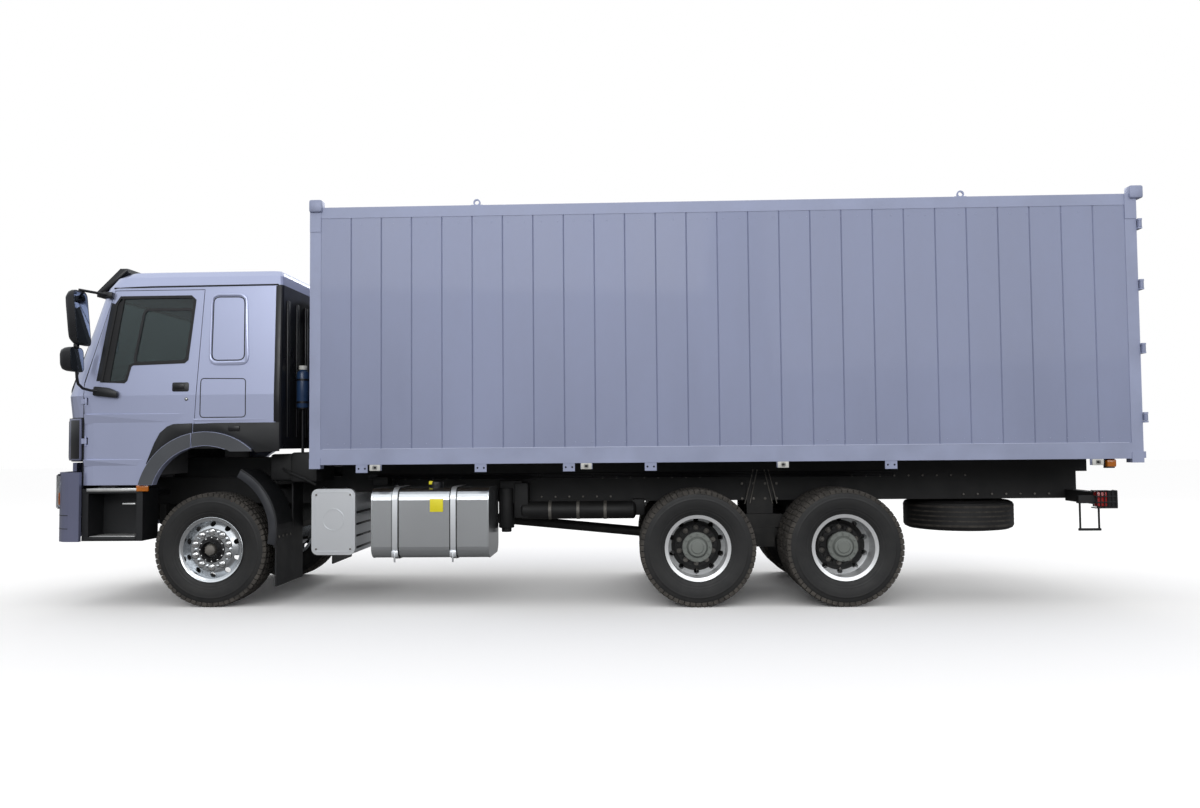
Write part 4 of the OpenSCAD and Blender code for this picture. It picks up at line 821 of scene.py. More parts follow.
def door_details():
    """Gaskets, window frame, creases, handle, trim, flare edge and a black strip of painted shade along the
    front edge that ride on the doors.
    """
    gasket = Shape("door_window_gasket")
    strip(gasket, WINDOW, width=0.026, low=-SKIN - 0.003, high=-SKIN + 0.030)
    gasket.plate(side_points([(-1.052, 2.150), (-0.935, 2.880), (-0.855, 2.945), (-0.975, 2.150)]),
                 -SKIN + 0.006, -SKIN + 0.024)
    leaned(gasket).pair("cab_door_{}", seal_rubber)
    slider = Shape("door_slider_frame")
    frame_line = smooth_corners(side_points([(-0.742, 2.318), (-0.655, 2.835), (-0.178, 2.835),
                                             (-0.235, 2.335)]), 0.05)
    strip(slider, frame_line, width=0.024, low=-SKIN + 0.005, high=-SKIN + 0.016)
    leaned(slider).pair("cab_door_{}", black_trim)
    handle = Shape("door_handle")
    handle.plate(smooth_corners(side_points([(-0.361, 2.043), (-0.361, 2.130), (-0.200, 2.130),
                                             (-0.200, 2.043)]), 0.018), -SKIN - 0.003, -SKIN + 0.004,
                 round_by=0.0015)
    handle.block(at(-0.350, -SKIN - 0.010, 2.070), at(-0.245, -SKIN - 0.002, 2.118), 0.003)
    handle.rod(at(-0.222, -SKIN + 0.002, 1.970), at(-0.222, -SKIN - 0.004, 1.970), 0.016, round_by=0.002)
    leaned(handle).pair("cab_door_{}", black_trim)
    lock = Shape("door_key_face")
    lock.rod(at(-0.222, -SKIN - 0.002, 1.970), at(-0.222, -SKIN - 0.007, 1.970), 0.012, round_by=0.001)
    lock.block(at(-0.223, -SKIN - 0.008, 1.964), at(-0.221, -SKIN - 0.006, 1.976), 0)
    lock.pair("cab_door_{}", bright_steel)
    crease = Shape("door_creases")
    wedge(crease, -1.203, -0.240, z=1.832, height=0.090, proud=0.016)
    wedge(crease, -1.203, -0.640, z=1.400, height=0.060, proud=0.020)
    crease.pair("cab_door_{}", cab_paint)
    trim = Shape("door_arch_trim")
    outer = side_points([(-0.162, 1.740), (-0.340, 1.735), (-0.400, 1.712), (-0.469, 1.652),
                         (-0.520, 1.560), (-0.560, 1.460), (-0.600, 1.360)])
    inner = arc_points(*ARCH, ARCH_R + 0.001, 148, 102, 14)
    trim.plate(outer + inner, -SKIN - 0.015, -SKIN + 0.002, round_by=0.003)
    trim.pair("cab_door_{}", dark_plastic)
    edge = Shape("door_flare_skin")
    edge.plate(flare_band(outer_from=162.1, outer_to=105.1, inner_from=102.1, inner_to=165.6),
               -SKIN - 0.0425, -SKIN - 0.036)
    edge.pair("cab_door_{}", flare_plastic)
    # A black strip along the door's front edge, between the painted pillar and the glass: painted shade of
    # the shadowed door edge.
    front_edge_shade = Shape("door_front_edge_shade")
    front_edge_shade.plate(side_points([(-1.100, 2.150), (-0.978, 2.905), (-0.930, 2.890), (-1.050, 2.150)]),
                 -SKIN - 0.001, -SKIN + 0.006)
    leaned(front_edge_shade).pair("cab_door_{}", black_trim)
    base = Shape("mirror_foot_cover")
    base.plate(smooth_corners(side_points([(-1.110, 2.010), (-1.100, 2.100), (-0.960, 2.085),
                                           (-0.870, 2.045), (-0.875, 1.985)]), 0.02), -SKIN - 0.044,
               -SKIN, round_by=0.008)
    base.pair("cab_door_{}", black_trim)


def cab_side_details():
    """The cab behind the doors: quarter panel, hatch, corner strip, lower trim and roof gutter."""
    rim = smooth_corners(side_points([(-0.015, 2.290), (-0.005, 2.990), (0.345, 2.985), (0.375, 2.290)]),
                         0.09)
    rim_in = smooth_corners(side_points([(0.005, 2.330), (0.008, 2.958), (0.326, 2.955), (0.338, 2.330)]),
                            0.07)
    panel = Shape("quarter_panel")
    panel.plate(rim, -SKIN - 0.010, -SKIN + 0.002, holes=(rim_in,), round_by=0.007)
    leaned(panel).both("cab", cab_paint)
    seam = Shape("quarter_panel_seam")
    strip(seam, smooth_corners(side_points([(0.014, 2.338), (0.018, 2.948), (0.318, 2.945),
                                            (0.328, 2.338)]), 0.06), width=0.010, low=-SKIN - 0.0015,
          high=-SKIN + 0.004)
    strip(seam, smooth_corners(side_points([(-0.090, 1.795), (-0.086, 2.166), (0.345, 2.160),
                                            (0.347, 1.795)]), 0.035), width=0.008, low=-SKIN - 0.0015,
          high=-SKIN + 0.004)
    leaned(seam).both("cab", seal_rubber)
    crease = Shape("cab_side_creases")
    wedge(crease, -0.152, 0.560, z=1.775, height=0.030, proud=0.004)
    crease.both("cab", cab_paint)
    seal = Shape("door_gap_seals")
    for line in ([(-1.2213, 1.180), (-1.2213, 2.128), (-1.2168, 2.128), (-1.2168, 1.180)],
                 [(-1.2210, 2.134), (-0.9500, 3.023), (-0.9460, 3.019), (-1.2165, 2.131)],
                 [(-0.9440, 3.0235), (-0.0790, 3.0235), (-0.0790, 3.0190), (-0.9440, 3.0190)],
                 [(-0.0770, 3.0180), (-0.1495, 1.680), (-0.1540, 1.680), (-0.0725, 3.0180)][::-1]):
        seal.plate(side_points(line), -SKIN + 0.008, -SKIN + 0.040)
    leaned(seal).both("cab", seal_rubber)
    corner = Shape("rear_corner_strip")
    corner.plate(side_points([(0.618, 1.748), (0.618, 3.050), (0.672, 3.050), (0.672, 1.748)]),
                 -SKIN - 0.003, -SKIN + 0.012, round_by=0.003)
    leaned(corner).both("cab", black_trim)
    trim = Shape("cab_arch_trim")
    ring = arc_points(*ARCH, ARCH_R + 0.001, 44, 101, 18)
    trim.plate(side_points([(0.676, 1.470)]) + ring
               + side_points([(-0.150, 1.735), (0.080, 1.742), (0.676, 1.742)]), -SKIN - 0.014,
               -SKIN + 0.002, round_by=0.003)
    trim.both("cab", dark_plastic)
    edge = Shape("cab_flare_skin")
    edge.plate(flare_band(outer_from=103.6, outer_to=62.5, inner_from=45.8, inner_to=101.0),
               -SKIN - 0.0425, -SKIN - 0.036)
    edge.both("cab", flare_plastic)
    marker = Shape("arch_marker")
    marker.block(at(0.189, -SKIN - 0.026, 1.664), at(0.300, -SKIN - 0.012, 1.712), 0.006)
    marker.both("cab", black_trim)
    top = -SKIN + (ROOF_Z - WAIST_Z) * LEAN
    gutter = Shape("roof_gutter")
    gutter.tube([at(-0.960, top + 0.008, ROOF_Z - 0.014), at(-0.60, top - 0.001, ROOF_Z - 0.006),
                 at(0.640, top - 0.001, ROOF_Z)], 0.008, 10)
    gutter.both("cab", seal_rubber)
    back = Shape("back_wall_ribs")
    rib = Shape("rib")
    rib.block((-0.008, -0.030, 0), (0.012, 0.030, 1.32), 0.008)
    back.repeat(rib, 9, at(0.680, -1.00, 1.60), step=(0, 0.25, 0), material=black_trim)
    back.done("cab", black_trim)


def roof_details():
    """Marker lamps, the hatch and the visor's edges."""
    lamps = Shape("roof_marker_lamps")
    for y in (-0.30, 0.30):
        lamps.block(at(-0.620, y - 0.055, 3.215), at(-0.540, y + 0.055, 3.238), 0.010)
    lamps.done("cab", amber_lens)
    hatch = Shape("roof_hatch")
    hatch.block(at(-0.35, -0.38, 3.218), at(0.25, 0.38, 3.250), 0.012)
    hatch.done("cab", dark_plastic)
    edge = Shape("visor_edge")
    edge.tube([at(-1.205, -1.0, 3.030), at(-1.205, 1.0, 3.030)], 0.014, 10)
    edge.done("cab", black_trim)
    visor = Shape("visor_ends")
    visor.plate(side_points([(-1.190, 2.995), (-1.175, 2.990), (-0.905, 3.235), (-0.905, 3.262),
                             (-0.960, 3.262), (-1.190, 3.040)]), -1.020, -0.996, round_by=0.006)
    visor.both("cab", black_trim)


def nose_x(y, z):
    """The station of the cab's bowed nose at a height, with its rounded corners."""
    rise = min(max((z - WAIST_Z) / (ROOF_Z - 0.034 - WAIST_Z), 0), 1)
    flat = 0.90 + 0.08 * rise
    radius = 0.300 - 0.130 * rise
    past = min(max(abs(y) - flat, 0), radius * 0.98)
    bow = 0.070 * min(abs(y) / flat, 1) ** 2
    return -1.545 + 0.385 * rise + bow + radius - math.sqrt(radius ** 2 - past ** 2)


def corner_plate(shape, inner, outer, start, end, low, high, round_by=0.004):
    """A curved plate round the cab's lower front corner on the left, between two angles."""
    centre = (AXLE_X - 1.115, -0.840)
    outline = arc_points(*centre, outer, start, end, 14) + arc_points(*centre, inner, end, start, 14)
    shape.plate(outline, low, high, axis="Z", round_by=round_by)


def front_face_details():
    """Grille bars on the lid, corner deflectors, the screen's rubber, wipers and the nose's seams."""
    lid_low, lid_high = node_box("front_lid")
    skin = Shape("grille_back")
    skin.block((lid_low.x + 0.002, lid_low.y, lid_low.z), (lid_high.x, lid_high.y, lid_high.z), 0.006)
    skin.done("front_lid", dark_plastic)
    bars = Shape("grille_bars")
    bar = Shape("bar")
    bar.block((-0.010, lid_low.y + 0.05, -0.014), (0.012, lid_high.y - 0.05, 0.014), 0.006)
    bars.repeat(bar, 6, (lid_low.x + 0.004, 0, lid_low.z + 0.06), step=(0, 0, 0.052), material=black_trim)
    bars.done("front_lid", black_trim)
    trim = Shape("grille_edge")
    for z in (lid_low.z + 0.012, lid_high.z - 0.045):
        trim.block((lid_low.x - 0.006, lid_low.y + 0.01, z - 0.010),
                   (lid_low.x + 0.006, lid_high.y - 0.01, z + 0.010), 0.004)
    trim.done("front_lid", bright_steel)
    deflector, inset, gap = Shape("corner_deflector"), Shape("deflector_inset"), Shape("deflector_shadow")
    corner_plate(deflector, 0.366, 0.388, start=202, end=251.5, low=1.395, high=1.795, round_by=0.007)
    corner_plate(inset, 0.386, 0.3895, start=227, end=249.5, low=1.412, high=1.780, round_by=0.001)
    corner_plate(gap, 0.352, 0.368, start=200, end=252, low=1.385, high=1.805)
    # The deflector takes the darker copy of the cab's paint: painted shade on its front.
    deflector.both("cab", shaded_cab_paint)
    inset.both("cab", black_trim)
    gap.both("cab", dark_plastic)
    screen = Shape("screen_rubber")
    z0, z1 = WAIST_Z + 0.035, ROOF_Z - 0.075
    line = smooth_corners([(-1.045, z0), (1.045, z0), (0.975, z1), (-0.975, z1)], 0.10)
    screen.tube([Vector((AXLE_X + nose_x(y, z), y, z)) for y, z in line], 0.014, 8, closed=True)
    screen.done("cab", seal_rubber)
    wipers = Shape("wipers")
    for y in (-0.55, 0.35):
        foot, tip = at(nose_x(y, 2.035), y, 2.035), at(nose_x(y + 0.45, 2.300), y + 0.45, 2.300)
        wipers.rod(foot + Vector((0.03, 0, 0)), foot + Vector((-0.020, 0, 0)), 0.018, round_by=0.003)
        wipers.tube([foot + Vector((-0.020, 0, 0)), (foot + tip) / 2 + Vector((-0.035, 0, 0)),
                     tip + Vector((-0.022, 0, 0))], 0.006, 8)
        wipers.tube([at(nose_x(y + k, 2.300 + k * 0.2) - 0.008, y + k, 2.300 + k * 0.2)
                     for k in (0.15, 0.30, 0.45, 0.60, 0.70)], 0.007, 8)
    wipers.done("cab", black_trim)
    panel = Shape("nose_seams")
    for z in (WAIST_Z - 0.075, WAIST_Z - 0.150):
        panel.tube([Vector((AXLE_X + nose_x(y, z) + 0.0015, y, z))
                    for y in [k * 0.1 for k in range(-9, 10)]], 0.0035, 6)
    panel.done("cab", seal_rubber)


door_details()
cab_side_details()
roof_details()
front_face_details()


# ------------------------------------------------- mirrors, lamps, bumper
def mirror_head(shape, glass, low, high, tip):
    """A rounded housing that bulges forwards, with its mirror set into the rear face."""
    x0, x1 = low.x, high.x
    cy, cz = (low.y + high.y) / 2, (low.z + high.z) / 2
    half_y, half_z = (high.y - low.y) / 2, (high.z - low.z) / 2
    rows = []
    for depth, shrink in ((0.0, 1.0), (0.25, 1.0), (0.55, 0.96), (0.82, 0.84), (1.0, 0.60)):
        x = x1 - (x1 - x0) * depth
        ring = rounded_box(-half_y * shrink, half_y * shrink, -half_z * shrink, half_z * shrink,
                           radius=min(half_y, half_z) * 0.45 * shrink, count=5)
        rows.append([(x - tip * (z / half_z) * 0.5, cy + y, cz + z) for y, z in ring])
    part = bmesh.new()
    rings = [[part.verts.new(p) for p in row] for row in rows]
    count = len(rings[0])
    for a, b in zip(rings, rings[1:]):
        for k in range(count):
            part.faces.new((a[k], a[(k + 1) % count], b[(k + 1) % count], b[k]))
    part.faces.new(rings[0][::-1])
    part.faces.new(rings[-1])
    bmesh.ops.recalc_face_normals(part, faces=part.faces[:])
    shape.take(part)
    face = rounded_box(cy - half_y * 0.90, cy + half_y * 0.90, cz - half_z * 0.93, cz + half_z * 0.93,
                       radius=min(half_y, half_z) * 0.38, count=5)
    pane = bmesh.new()
    verts = [pane.verts.new((x1 + 0.0015 - tip * ((z - cz) / half_z) * 0.5, y, z)) for y, z in face]
    back = [pane.verts.new(v.co + Vector((-0.004, 0, 0))) for v in verts]
    pane.faces.new(verts)
    pane.faces.new(back[::-1])
    for k in range(len(verts)):
        j = (k + 1) % len(verts)
        pane.faces.new((verts[k], back[k], back[j], verts[j]))
    bmesh.ops.recalc_face_normals(pane, faces=pane.faces[:])
    glass.take(pane)


def mirrors():
    """Two mirror heads on one arm, on each door."""
    low = node_box("mirrors_left")[0]
    stem_x, stem_y = AXLE_X - 1.165, -SKIN - 0.200
    heads, glass, arms = Shape("mirror_housings"), Shape("mirror_faces"), Shape("mirror_arms")
    mirror_head(heads, glass, Vector((AXLE_X - 1.225, low.y, 2.470)),
                Vector((AXLE_X - 1.120, -SKIN - 0.085, 2.985)), tip=0.050)
    mirror_head(heads, glass, Vector((AXLE_X - 1.290, low.y + 0.010, 2.225)),
                Vector((AXLE_X - 1.165, -SKIN - 0.090, 2.455)), tip=0.010)
    arms.tube([at(-1.060, -SKIN - 0.030, 2.055), at(-1.110, -SKIN - 0.060, 2.058),
               at(-1.150, -SKIN - 0.130, 2.075), Vector((stem_x, stem_y + 0.02, 2.115)),
               Vector((stem_x, stem_y, 2.170)), Vector((stem_x - 0.012, stem_y, 2.330)),
               Vector((stem_x - 0.010, stem_y, 2.600)), Vector((stem_x - 0.014, stem_y, 2.965)),
               Vector((stem_x, stem_y + 0.015, 2.998)), at(-1.110, -SKIN - 0.100, 2.992),
               at(-1.030, -SKIN - 0.020, 2.982), at(-0.985, -SKIN + 0.030, 2.975)], 0.013, 12)
    arms.block(at(-1.045, -SKIN - 0.002, 2.945), at(-0.955, -SKIN + 0.050, 3.005), 0.010)
    arms.block((stem_x - 0.030, stem_y - 0.020, 2.440), (stem_x + 0.012, stem_y + 0.020, 2.490), 0.008)
    made = zip(heads.pair("cab_door_{}", black_trim), arms.pair("cab_door_{}", black_trim), SIDES)
    for head, arm, (side, _) in made:
        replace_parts(head, "mirrors_" + side)
        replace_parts(arm, "mirrors_" + side)
    glass.pair("cab_door_{}", mirror_glass)


def sweep_line(grow, start, end, count=10):
    """The bumper's swept corner in plan on the left, pushed outwards by grow, between two angles."""
    low = node_box("bumper")[0]
    flat_y, depth = 0.750, 0.240
    reach = -low.y - flat_y
    angles = [math.radians(start + (end - start) * i / count) for i in range(count + 1)]
    return [(low.x + depth - (depth + grow) * math.cos(a), -flat_y - (reach + grow) * math.sin(a))
            for a in angles]


def headlamps():
    """Clear covers with reflectors, projector tubes and an amber turn lamp behind."""
    low, high = node_box("headlamps")
    cover = Shape("headlamp_cover")
    outer, inner = sweep_line(0.030, 9, 56), sweep_line(0.024, 56, 9)
    cover.plate(outer + inner, low.z, high.z, axis="Z", round_by=0.002)
    covers = cover.pair("chassis", clear_lens)
    bowl = Shape("headlamp_bowl")
    bowl.plate(sweep_line(-0.020, 10, 55) + sweep_line(-0.034, 55, 10), low.z + 0.006, high.z - 0.006,
               axis="Z")
    for z in (low.z, high.z - 0.008):
        bowl.plate(sweep_line(0.015, 10, 55) + sweep_line(-0.034, 55, 10), z, z + 0.008, axis="Z")
    bowls = bowl.pair("chassis", lamp_reflector)
    for made in (covers, bowls):
        for obj in made:
            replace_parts(obj, "headlamps")
    lamps = Shape("headlamp_tubes")
    for angle, z, radius in ((16, 1.170, 0.062), (16, 1.035, 0.055), (32, 1.170, 0.062)):
        x, y = sweep_line(-0.012, angle, angle + 1, 1)[0]
        back = Vector((x + 0.010, y, z))
        lamps.lathe([(radius, 0.0), (radius, 0.020), (radius - 0.008, 0.022), (radius - 0.014, 0.004),
                     (0.020, -0.004), (0.0, -0.004)], back, axis="X", sides=32)
    lamps.pair("chassis", chrome)
    turn = Shape("turn_lamp")
    turn.plate(sweep_line(0.010, 40, 54, 4) + sweep_line(-0.010, 54, 40, 4), 0.975, 1.090, axis="Z",
               round_by=0.002)
    turn.pair("chassis", amber_lens)
    rim = Shape("headlamp_rim")
    for z in (low.z - 0.010, high.z - 0.002):
        rim.plate(sweep_line(0.020, 8, 58) + sweep_line(-0.004, 58, 8), z, z + 0.012, axis="Z",
                  round_by=0.003)
    rim.pair("chassis", black_trim)


def bumper_details():
    """Seams, fog lamps, the lower grille, a blank number plate and the step on top."""
    low, high = node_box("bumper")
    lamps_low = node_box("headlamps")[0].z
    groove = Shape("bumper_seams")
    groove.plate(sweep_line(0.0015, 0, 89) + sweep_line(-0.003, 89, 0), lamps_low - 0.075,
                 lamps_low - 0.068, axis="Z")
    groove.plate(sweep_line(0.0015, 0, 89) + sweep_line(-0.003, 89, 0), low.z + 0.120, low.z + 0.126,
                 axis="Z")
    groove.both("chassis", seal_rubber)
    fog = Shape("fog_lamps")
    x, y = sweep_line(0.004, 20, 21, 1)[0]
    fog.lathe([(0.0, 0.018), (0.045, 0.014), (0.058, 0.004), (0.062, -0.012)],
              (x - 0.002, y, low.z + 0.20), axis="X", sides=32)
    fog.both("chassis", white_lens)
    mesh = Shape("bumper_grille")
    bar = Shape("bar")
    bar.block((-0.006, -0.640, -0.009), (0.010, 0.640, 0.009), 0.004)
    mesh.repeat(bar, 7, (low.x + 0.022, 0, lamps_low + 0.026), step=(0, 0, 0.043), material=black_trim)
    mesh.block((low.x + 0.038, -0.655, lamps_low - 0.006), (low.x + 0.044, 0.655, lamps_low + 0.306), 0.001)
    mesh.done("chassis", black_trim)
    plate = Shape("number_plate")
    plate.block((low.x - 0.010, -0.24, low.z + 0.16), (low.x - 0.001, 0.24, low.z + 0.28), 0.004)
    plate.done("chassis", white_paint)
    tread = Shape("bumper_step")
    tread.block((low.x + 0.004, -0.55, high.z - 0.001), (low.x + 0.036, 0.55, high.z + 0.004), 0.001)
    tread.done("chassis", dark_plastic)


mirrors()
headlamps()
bumper_details()


# ------------------------------------------------- steps, guards and flaps
def steps_and_guards():
    """Tread plates and edges of the steps, side lamps, mudguard faces and flap bolts."""
    low, high = node_box("steps")
    plates = Shape("step_plates")
    for z, y_in in ((low.z + 0.040, -0.93), (high.z, -1.02)):
        plates.block((low.x + 0.075, low.y + 0.004, z - 0.002), (high.x - 0.075, y_in, z + 0.006), 0.002)
        stud = Shape("stud")
        stud.rod((0, 0, 0), (0, 0, 0.004), 0.010, 0.006, sides=10)
        for y in (-1.17, -1.13, -1.09):
            plates.repeat(stud, 12, (low.x + 0.105, y, z + 0.005), step=(0.034, 0, 0), material=tread_plate)
    plates.block((high.x - 0.20, low.y + 0.010, 0.975), (high.x - 0.075, -1.06, 0.990), 0.003)
    plates.both("chassis", tread_plate)
    lip = Shape("step_edges")
    lip.block((low.x + 0.065, low.y - 0.008, low.z + 0.006),
              (high.x - 0.065, low.y + 0.006, low.z + 0.036), 0.006)
    lip.both("chassis", dark_plastic)
    edge = Shape("step_top_edge")
    edge.block((low.x + 0.045, low.y - 0.006, high.z - 0.024),
               (high.x - 0.030, low.y + 0.006, high.z + 0.005), 0.004)
    edge.both("chassis", tread_plate)
    lamp = Shape("step_side_lamp")
    lamp.block(at(-0.690, -SKIN - 0.018, 1.100), at(-0.575, -SKIN + 0.010, 1.158), 0.008)
    lamp.both("chassis", amber_lens)
    guard_low, guard_high = node_box("mudguards")
    edge = Shape("guard_edges")
    arc = arc_points(AXLE_X, 0.720, 0.653, -14, 62, 16)
    edge.tube([(x, guard_low.y + 0.004, z) for x, z in arc], 0.010, 8)
    edge.both("chassis", dark_plastic)
    face = Shape("guard_skin")
    face.plate(arc_points(AXLE_X, 0.720, 0.660, -12, 62, 16)
               + arc_points(AXLE_X, 0.720, 0.575, 62, -12, 16), guard_low.y - 0.003, guard_low.y + 0.010,
               round_by=0.003)
    face.both("chassis", guard_plastic)
    bolts = Shape("flap_bolts")
    bolt = Shape("bolt")
    bolt.rod((0, 0, 0), (0.008, 0, 0), 0.011, sides=6, round_by=0.001)
    bolts.repeat(bolt, 4, (guard_high.x, -1.14, 0.66), step=(0, 0.10, 0))
    bolts.both("chassis", worn_steel)


# --------------------------------------------------- tanks and side boxes
STRAP_STATIONS = (1.775, 2.322)


def fuel_tank_details():
    """Straps on rubber, end rims, the filler cap with its yellow band, a blank label and the gauge's pipe."""
    low, high = node_box("fuel_tank")
    y_out = low.y
    body_low, body_top = low.z + 0.006, 1.109
    straps = Shape("fuel_tank_straps")
    for station in STRAP_STATIONS:
        ring = rounded_box(-SKIN - 0.010, -0.560, body_low - 0.010, body_top + 0.010, radius=0.118, count=6)
        hole = rounded_box(-SKIN - 0.003, -0.566, body_low - 0.003, body_top + 0.003, radius=0.112, count=6)
        straps.plate(ring, AXLE_X + station - 0.024, AXLE_X + station + 0.024, axis="X", holes=(hole,))
        straps.block(at(station - 0.030, y_out - 0.012, body_low + 0.02),
                     at(station + 0.030, y_out + 0.004, body_low + 0.075), 0.004)
        straps.rod(at(station, y_out - 0.010, body_low - 0.030),
                   at(station, y_out - 0.010, body_low + 0.060), 0.008, round_by=0.001)
    straps.done("chassis", polished_plate)
    rubbers = Shape("strap_rubbers")
    for station in STRAP_STATIONS:
        for side in (-0.030, 0.030):
            ring = rounded_box(-SKIN - 0.005, -0.562, body_low - 0.005, body_top + 0.005, radius=0.114,
                               count=6)
            hole = rounded_box(-SKIN + 0.002, -0.568, body_low + 0.002, body_top - 0.002, radius=0.108,
                               count=6)
            rubbers.plate(ring, AXLE_X + station + side - 0.005, AXLE_X + station + side + 0.005,
                          axis="X", holes=(hole,))
    rubbers.done("chassis", seal_rubber)
    seams = Shape("fuel_tank_rims")
    for x in (low.x + 0.004, high.x - 0.012):
        ring = rounded_box(-SKIN - 0.003, -0.557, body_low - 0.003, body_top + 0.003, radius=0.112, count=6)
        hole = rounded_box(-SKIN + 0.010, -0.570, body_low + 0.010, body_top - 0.010, radius=0.100, count=6)
        seams.plate(ring, x, x + 0.008, axis="X", holes=(hole,))
    seams.done("chassis", polished)
    cap = Shape("fuel_cap")
    centre = at(2.125, -SKIN + 0.190, body_top)
    cap.lathe([(0.0, 0.074), (0.050, 0.073), (0.062, 0.066), (0.066, 0.036), (0.066, 0.014),
               (0.074, 0.012), (0.076, 0.0)], centre + Vector((0, 0, -0.012)), axis="Z", sides=40)
    grip = Shape("grip")
    grip.block((0.062, -0.005, 0.0), (0.071, 0.005, 0.040), 0.002)
    cap.repeat(grip, 10, centre + Vector((0, 0, 0.010)), turn=(0, 0, math.tau / 10), material=black_trim)
    cap.done("chassis", black_trim)
    mark = Shape("fuel_cap_band")
    mark.block(centre + Vector((-0.060, -0.058, 0.030)), centre + Vector((-0.022, -0.040, 0.064)), 0.006)
    mark.done("chassis", yellow_plastic)
    blank = Shape("tank_blank_label")
    blank.block(at(2.105, y_out - 0.0015, 0.890), at(2.228, y_out + 0.004, 1.010), 0.0005)
    blank.done("chassis", yellow_plastic)
    gauge = Shape("tank_fittings")
    gauge.rod(at(1.700, -0.80, body_top - 0.004), at(1.700, -0.80, body_top + 0.018), 0.035, round_by=0.004)
    gauge.tube([at(1.700, -0.80, body_top + 0.015), at(1.695, -0.78, body_top + 0.05),
                at(1.66, -0.66, body_top + 0.07), at(1.60, -0.50, body_top + 0.02),
                at(1.58, -0.44, body_top - 0.06)], 0.009, 8)
    gauge.done("chassis", black_trim)


def battery_details():
    """The cover's raised rim and plain round boss, its bolts, the latches and the case's ribs."""
    low, high = node_box("battery_box")
    x0, x1, z0, z1, y = low.x, high.x, low.z, high.z, low.y
    rim = Shape("battery_cover_rim")
    strip(rim, rounded_box(x0 + 0.030, x1 - 0.030, z0 + 0.030, z1 - 0.030, radius=0.045, count=5),
          width=0.008, low=y - 0.004, high=y + 0.002)
    emboss = arc_points((x0 + x1) / 2, (z0 + z1) / 2 + 0.02, 0.100, 0, 360, 28)[:-1]
    strip(rim, emboss, width=0.008, low=y - 0.003, high=y + 0.002)
    rim.done("chassis", polished_plate)
    bolts = Shape("battery_cover_bolts")
    for bx in (x0 + 0.045, x1 - 0.045):
        for bz in (z0 + 0.055, z1 - 0.055):
            bolts.rod((bx, y - 0.008, bz), (bx, y + 0.002, bz), 0.010, sides=6, round_by=0.001)
    bolts.done("chassis", worn_steel)
    straps = Shape("battery_latches")
    for x in (x0 + 0.10, x1 - 0.10):
        straps.block((x - 0.014, y + 0.030, z1 - 0.006), (x + 0.014, y + 0.110, z1 + 0.010), 0.003)
        straps.tube([(x, y + 0.028, z1 - 0.02), (x, y + 0.015, z1 + 0.010), (x, y + 0.060, z1 + 0.016)],
                    0.005, 8)
    straps.done("chassis", black_trim)
    case = Shape("battery_case_ribs")
    rib = Shape("rib")
    rib.block((0, -1.120, z0 + 0.05), (0.008, -0.640, z0 + 0.07), 0.003)
    case.repeat(rib, 4, (x1 - 0.014, 0, 0), step=(0, 0, 0.11), material=black_trim)
    case.done("chassis", black_trim)


def air_tank_details():
    """Bands and domed ends of the lower air tank."""
    low, high = node_box("air_tanks")
    radius = 0.088
    y, z = low.y + radius, low.z + radius
    bands = Shape("air_tank_bands")
    for x in (low.x + 0.27, high.x - 0.28, (low.x + high.x) / 2):
        bands.lathe([(0.0885, -0.016), (0.0915, -0.014), (0.0915, 0.014), (0.0885, 0.016)], (x, y, z),
                    axis="X", sides=40)
    bands.both("chassis", worn_steel)
    ends = Shape("air_tank_ends")
    for x, way in ((low.x, -1), (high.x, 1)):
        dome = [(0.0, 0.030 * way), (0.050, 0.026 * way), (0.078, 0.014 * way), (radius, 0.0)]
        ends.lathe(dome, (x, y, z), axis="X", sides=40)
        ends.rod((x + way * 0.026, y, z), (x + way * 0.052, y, z), 0.012, sides=6)
    ends.both("chassis", frame_black)


steps_and_guards()
fuel_tank_details()
battery_details()
air_tank_details()


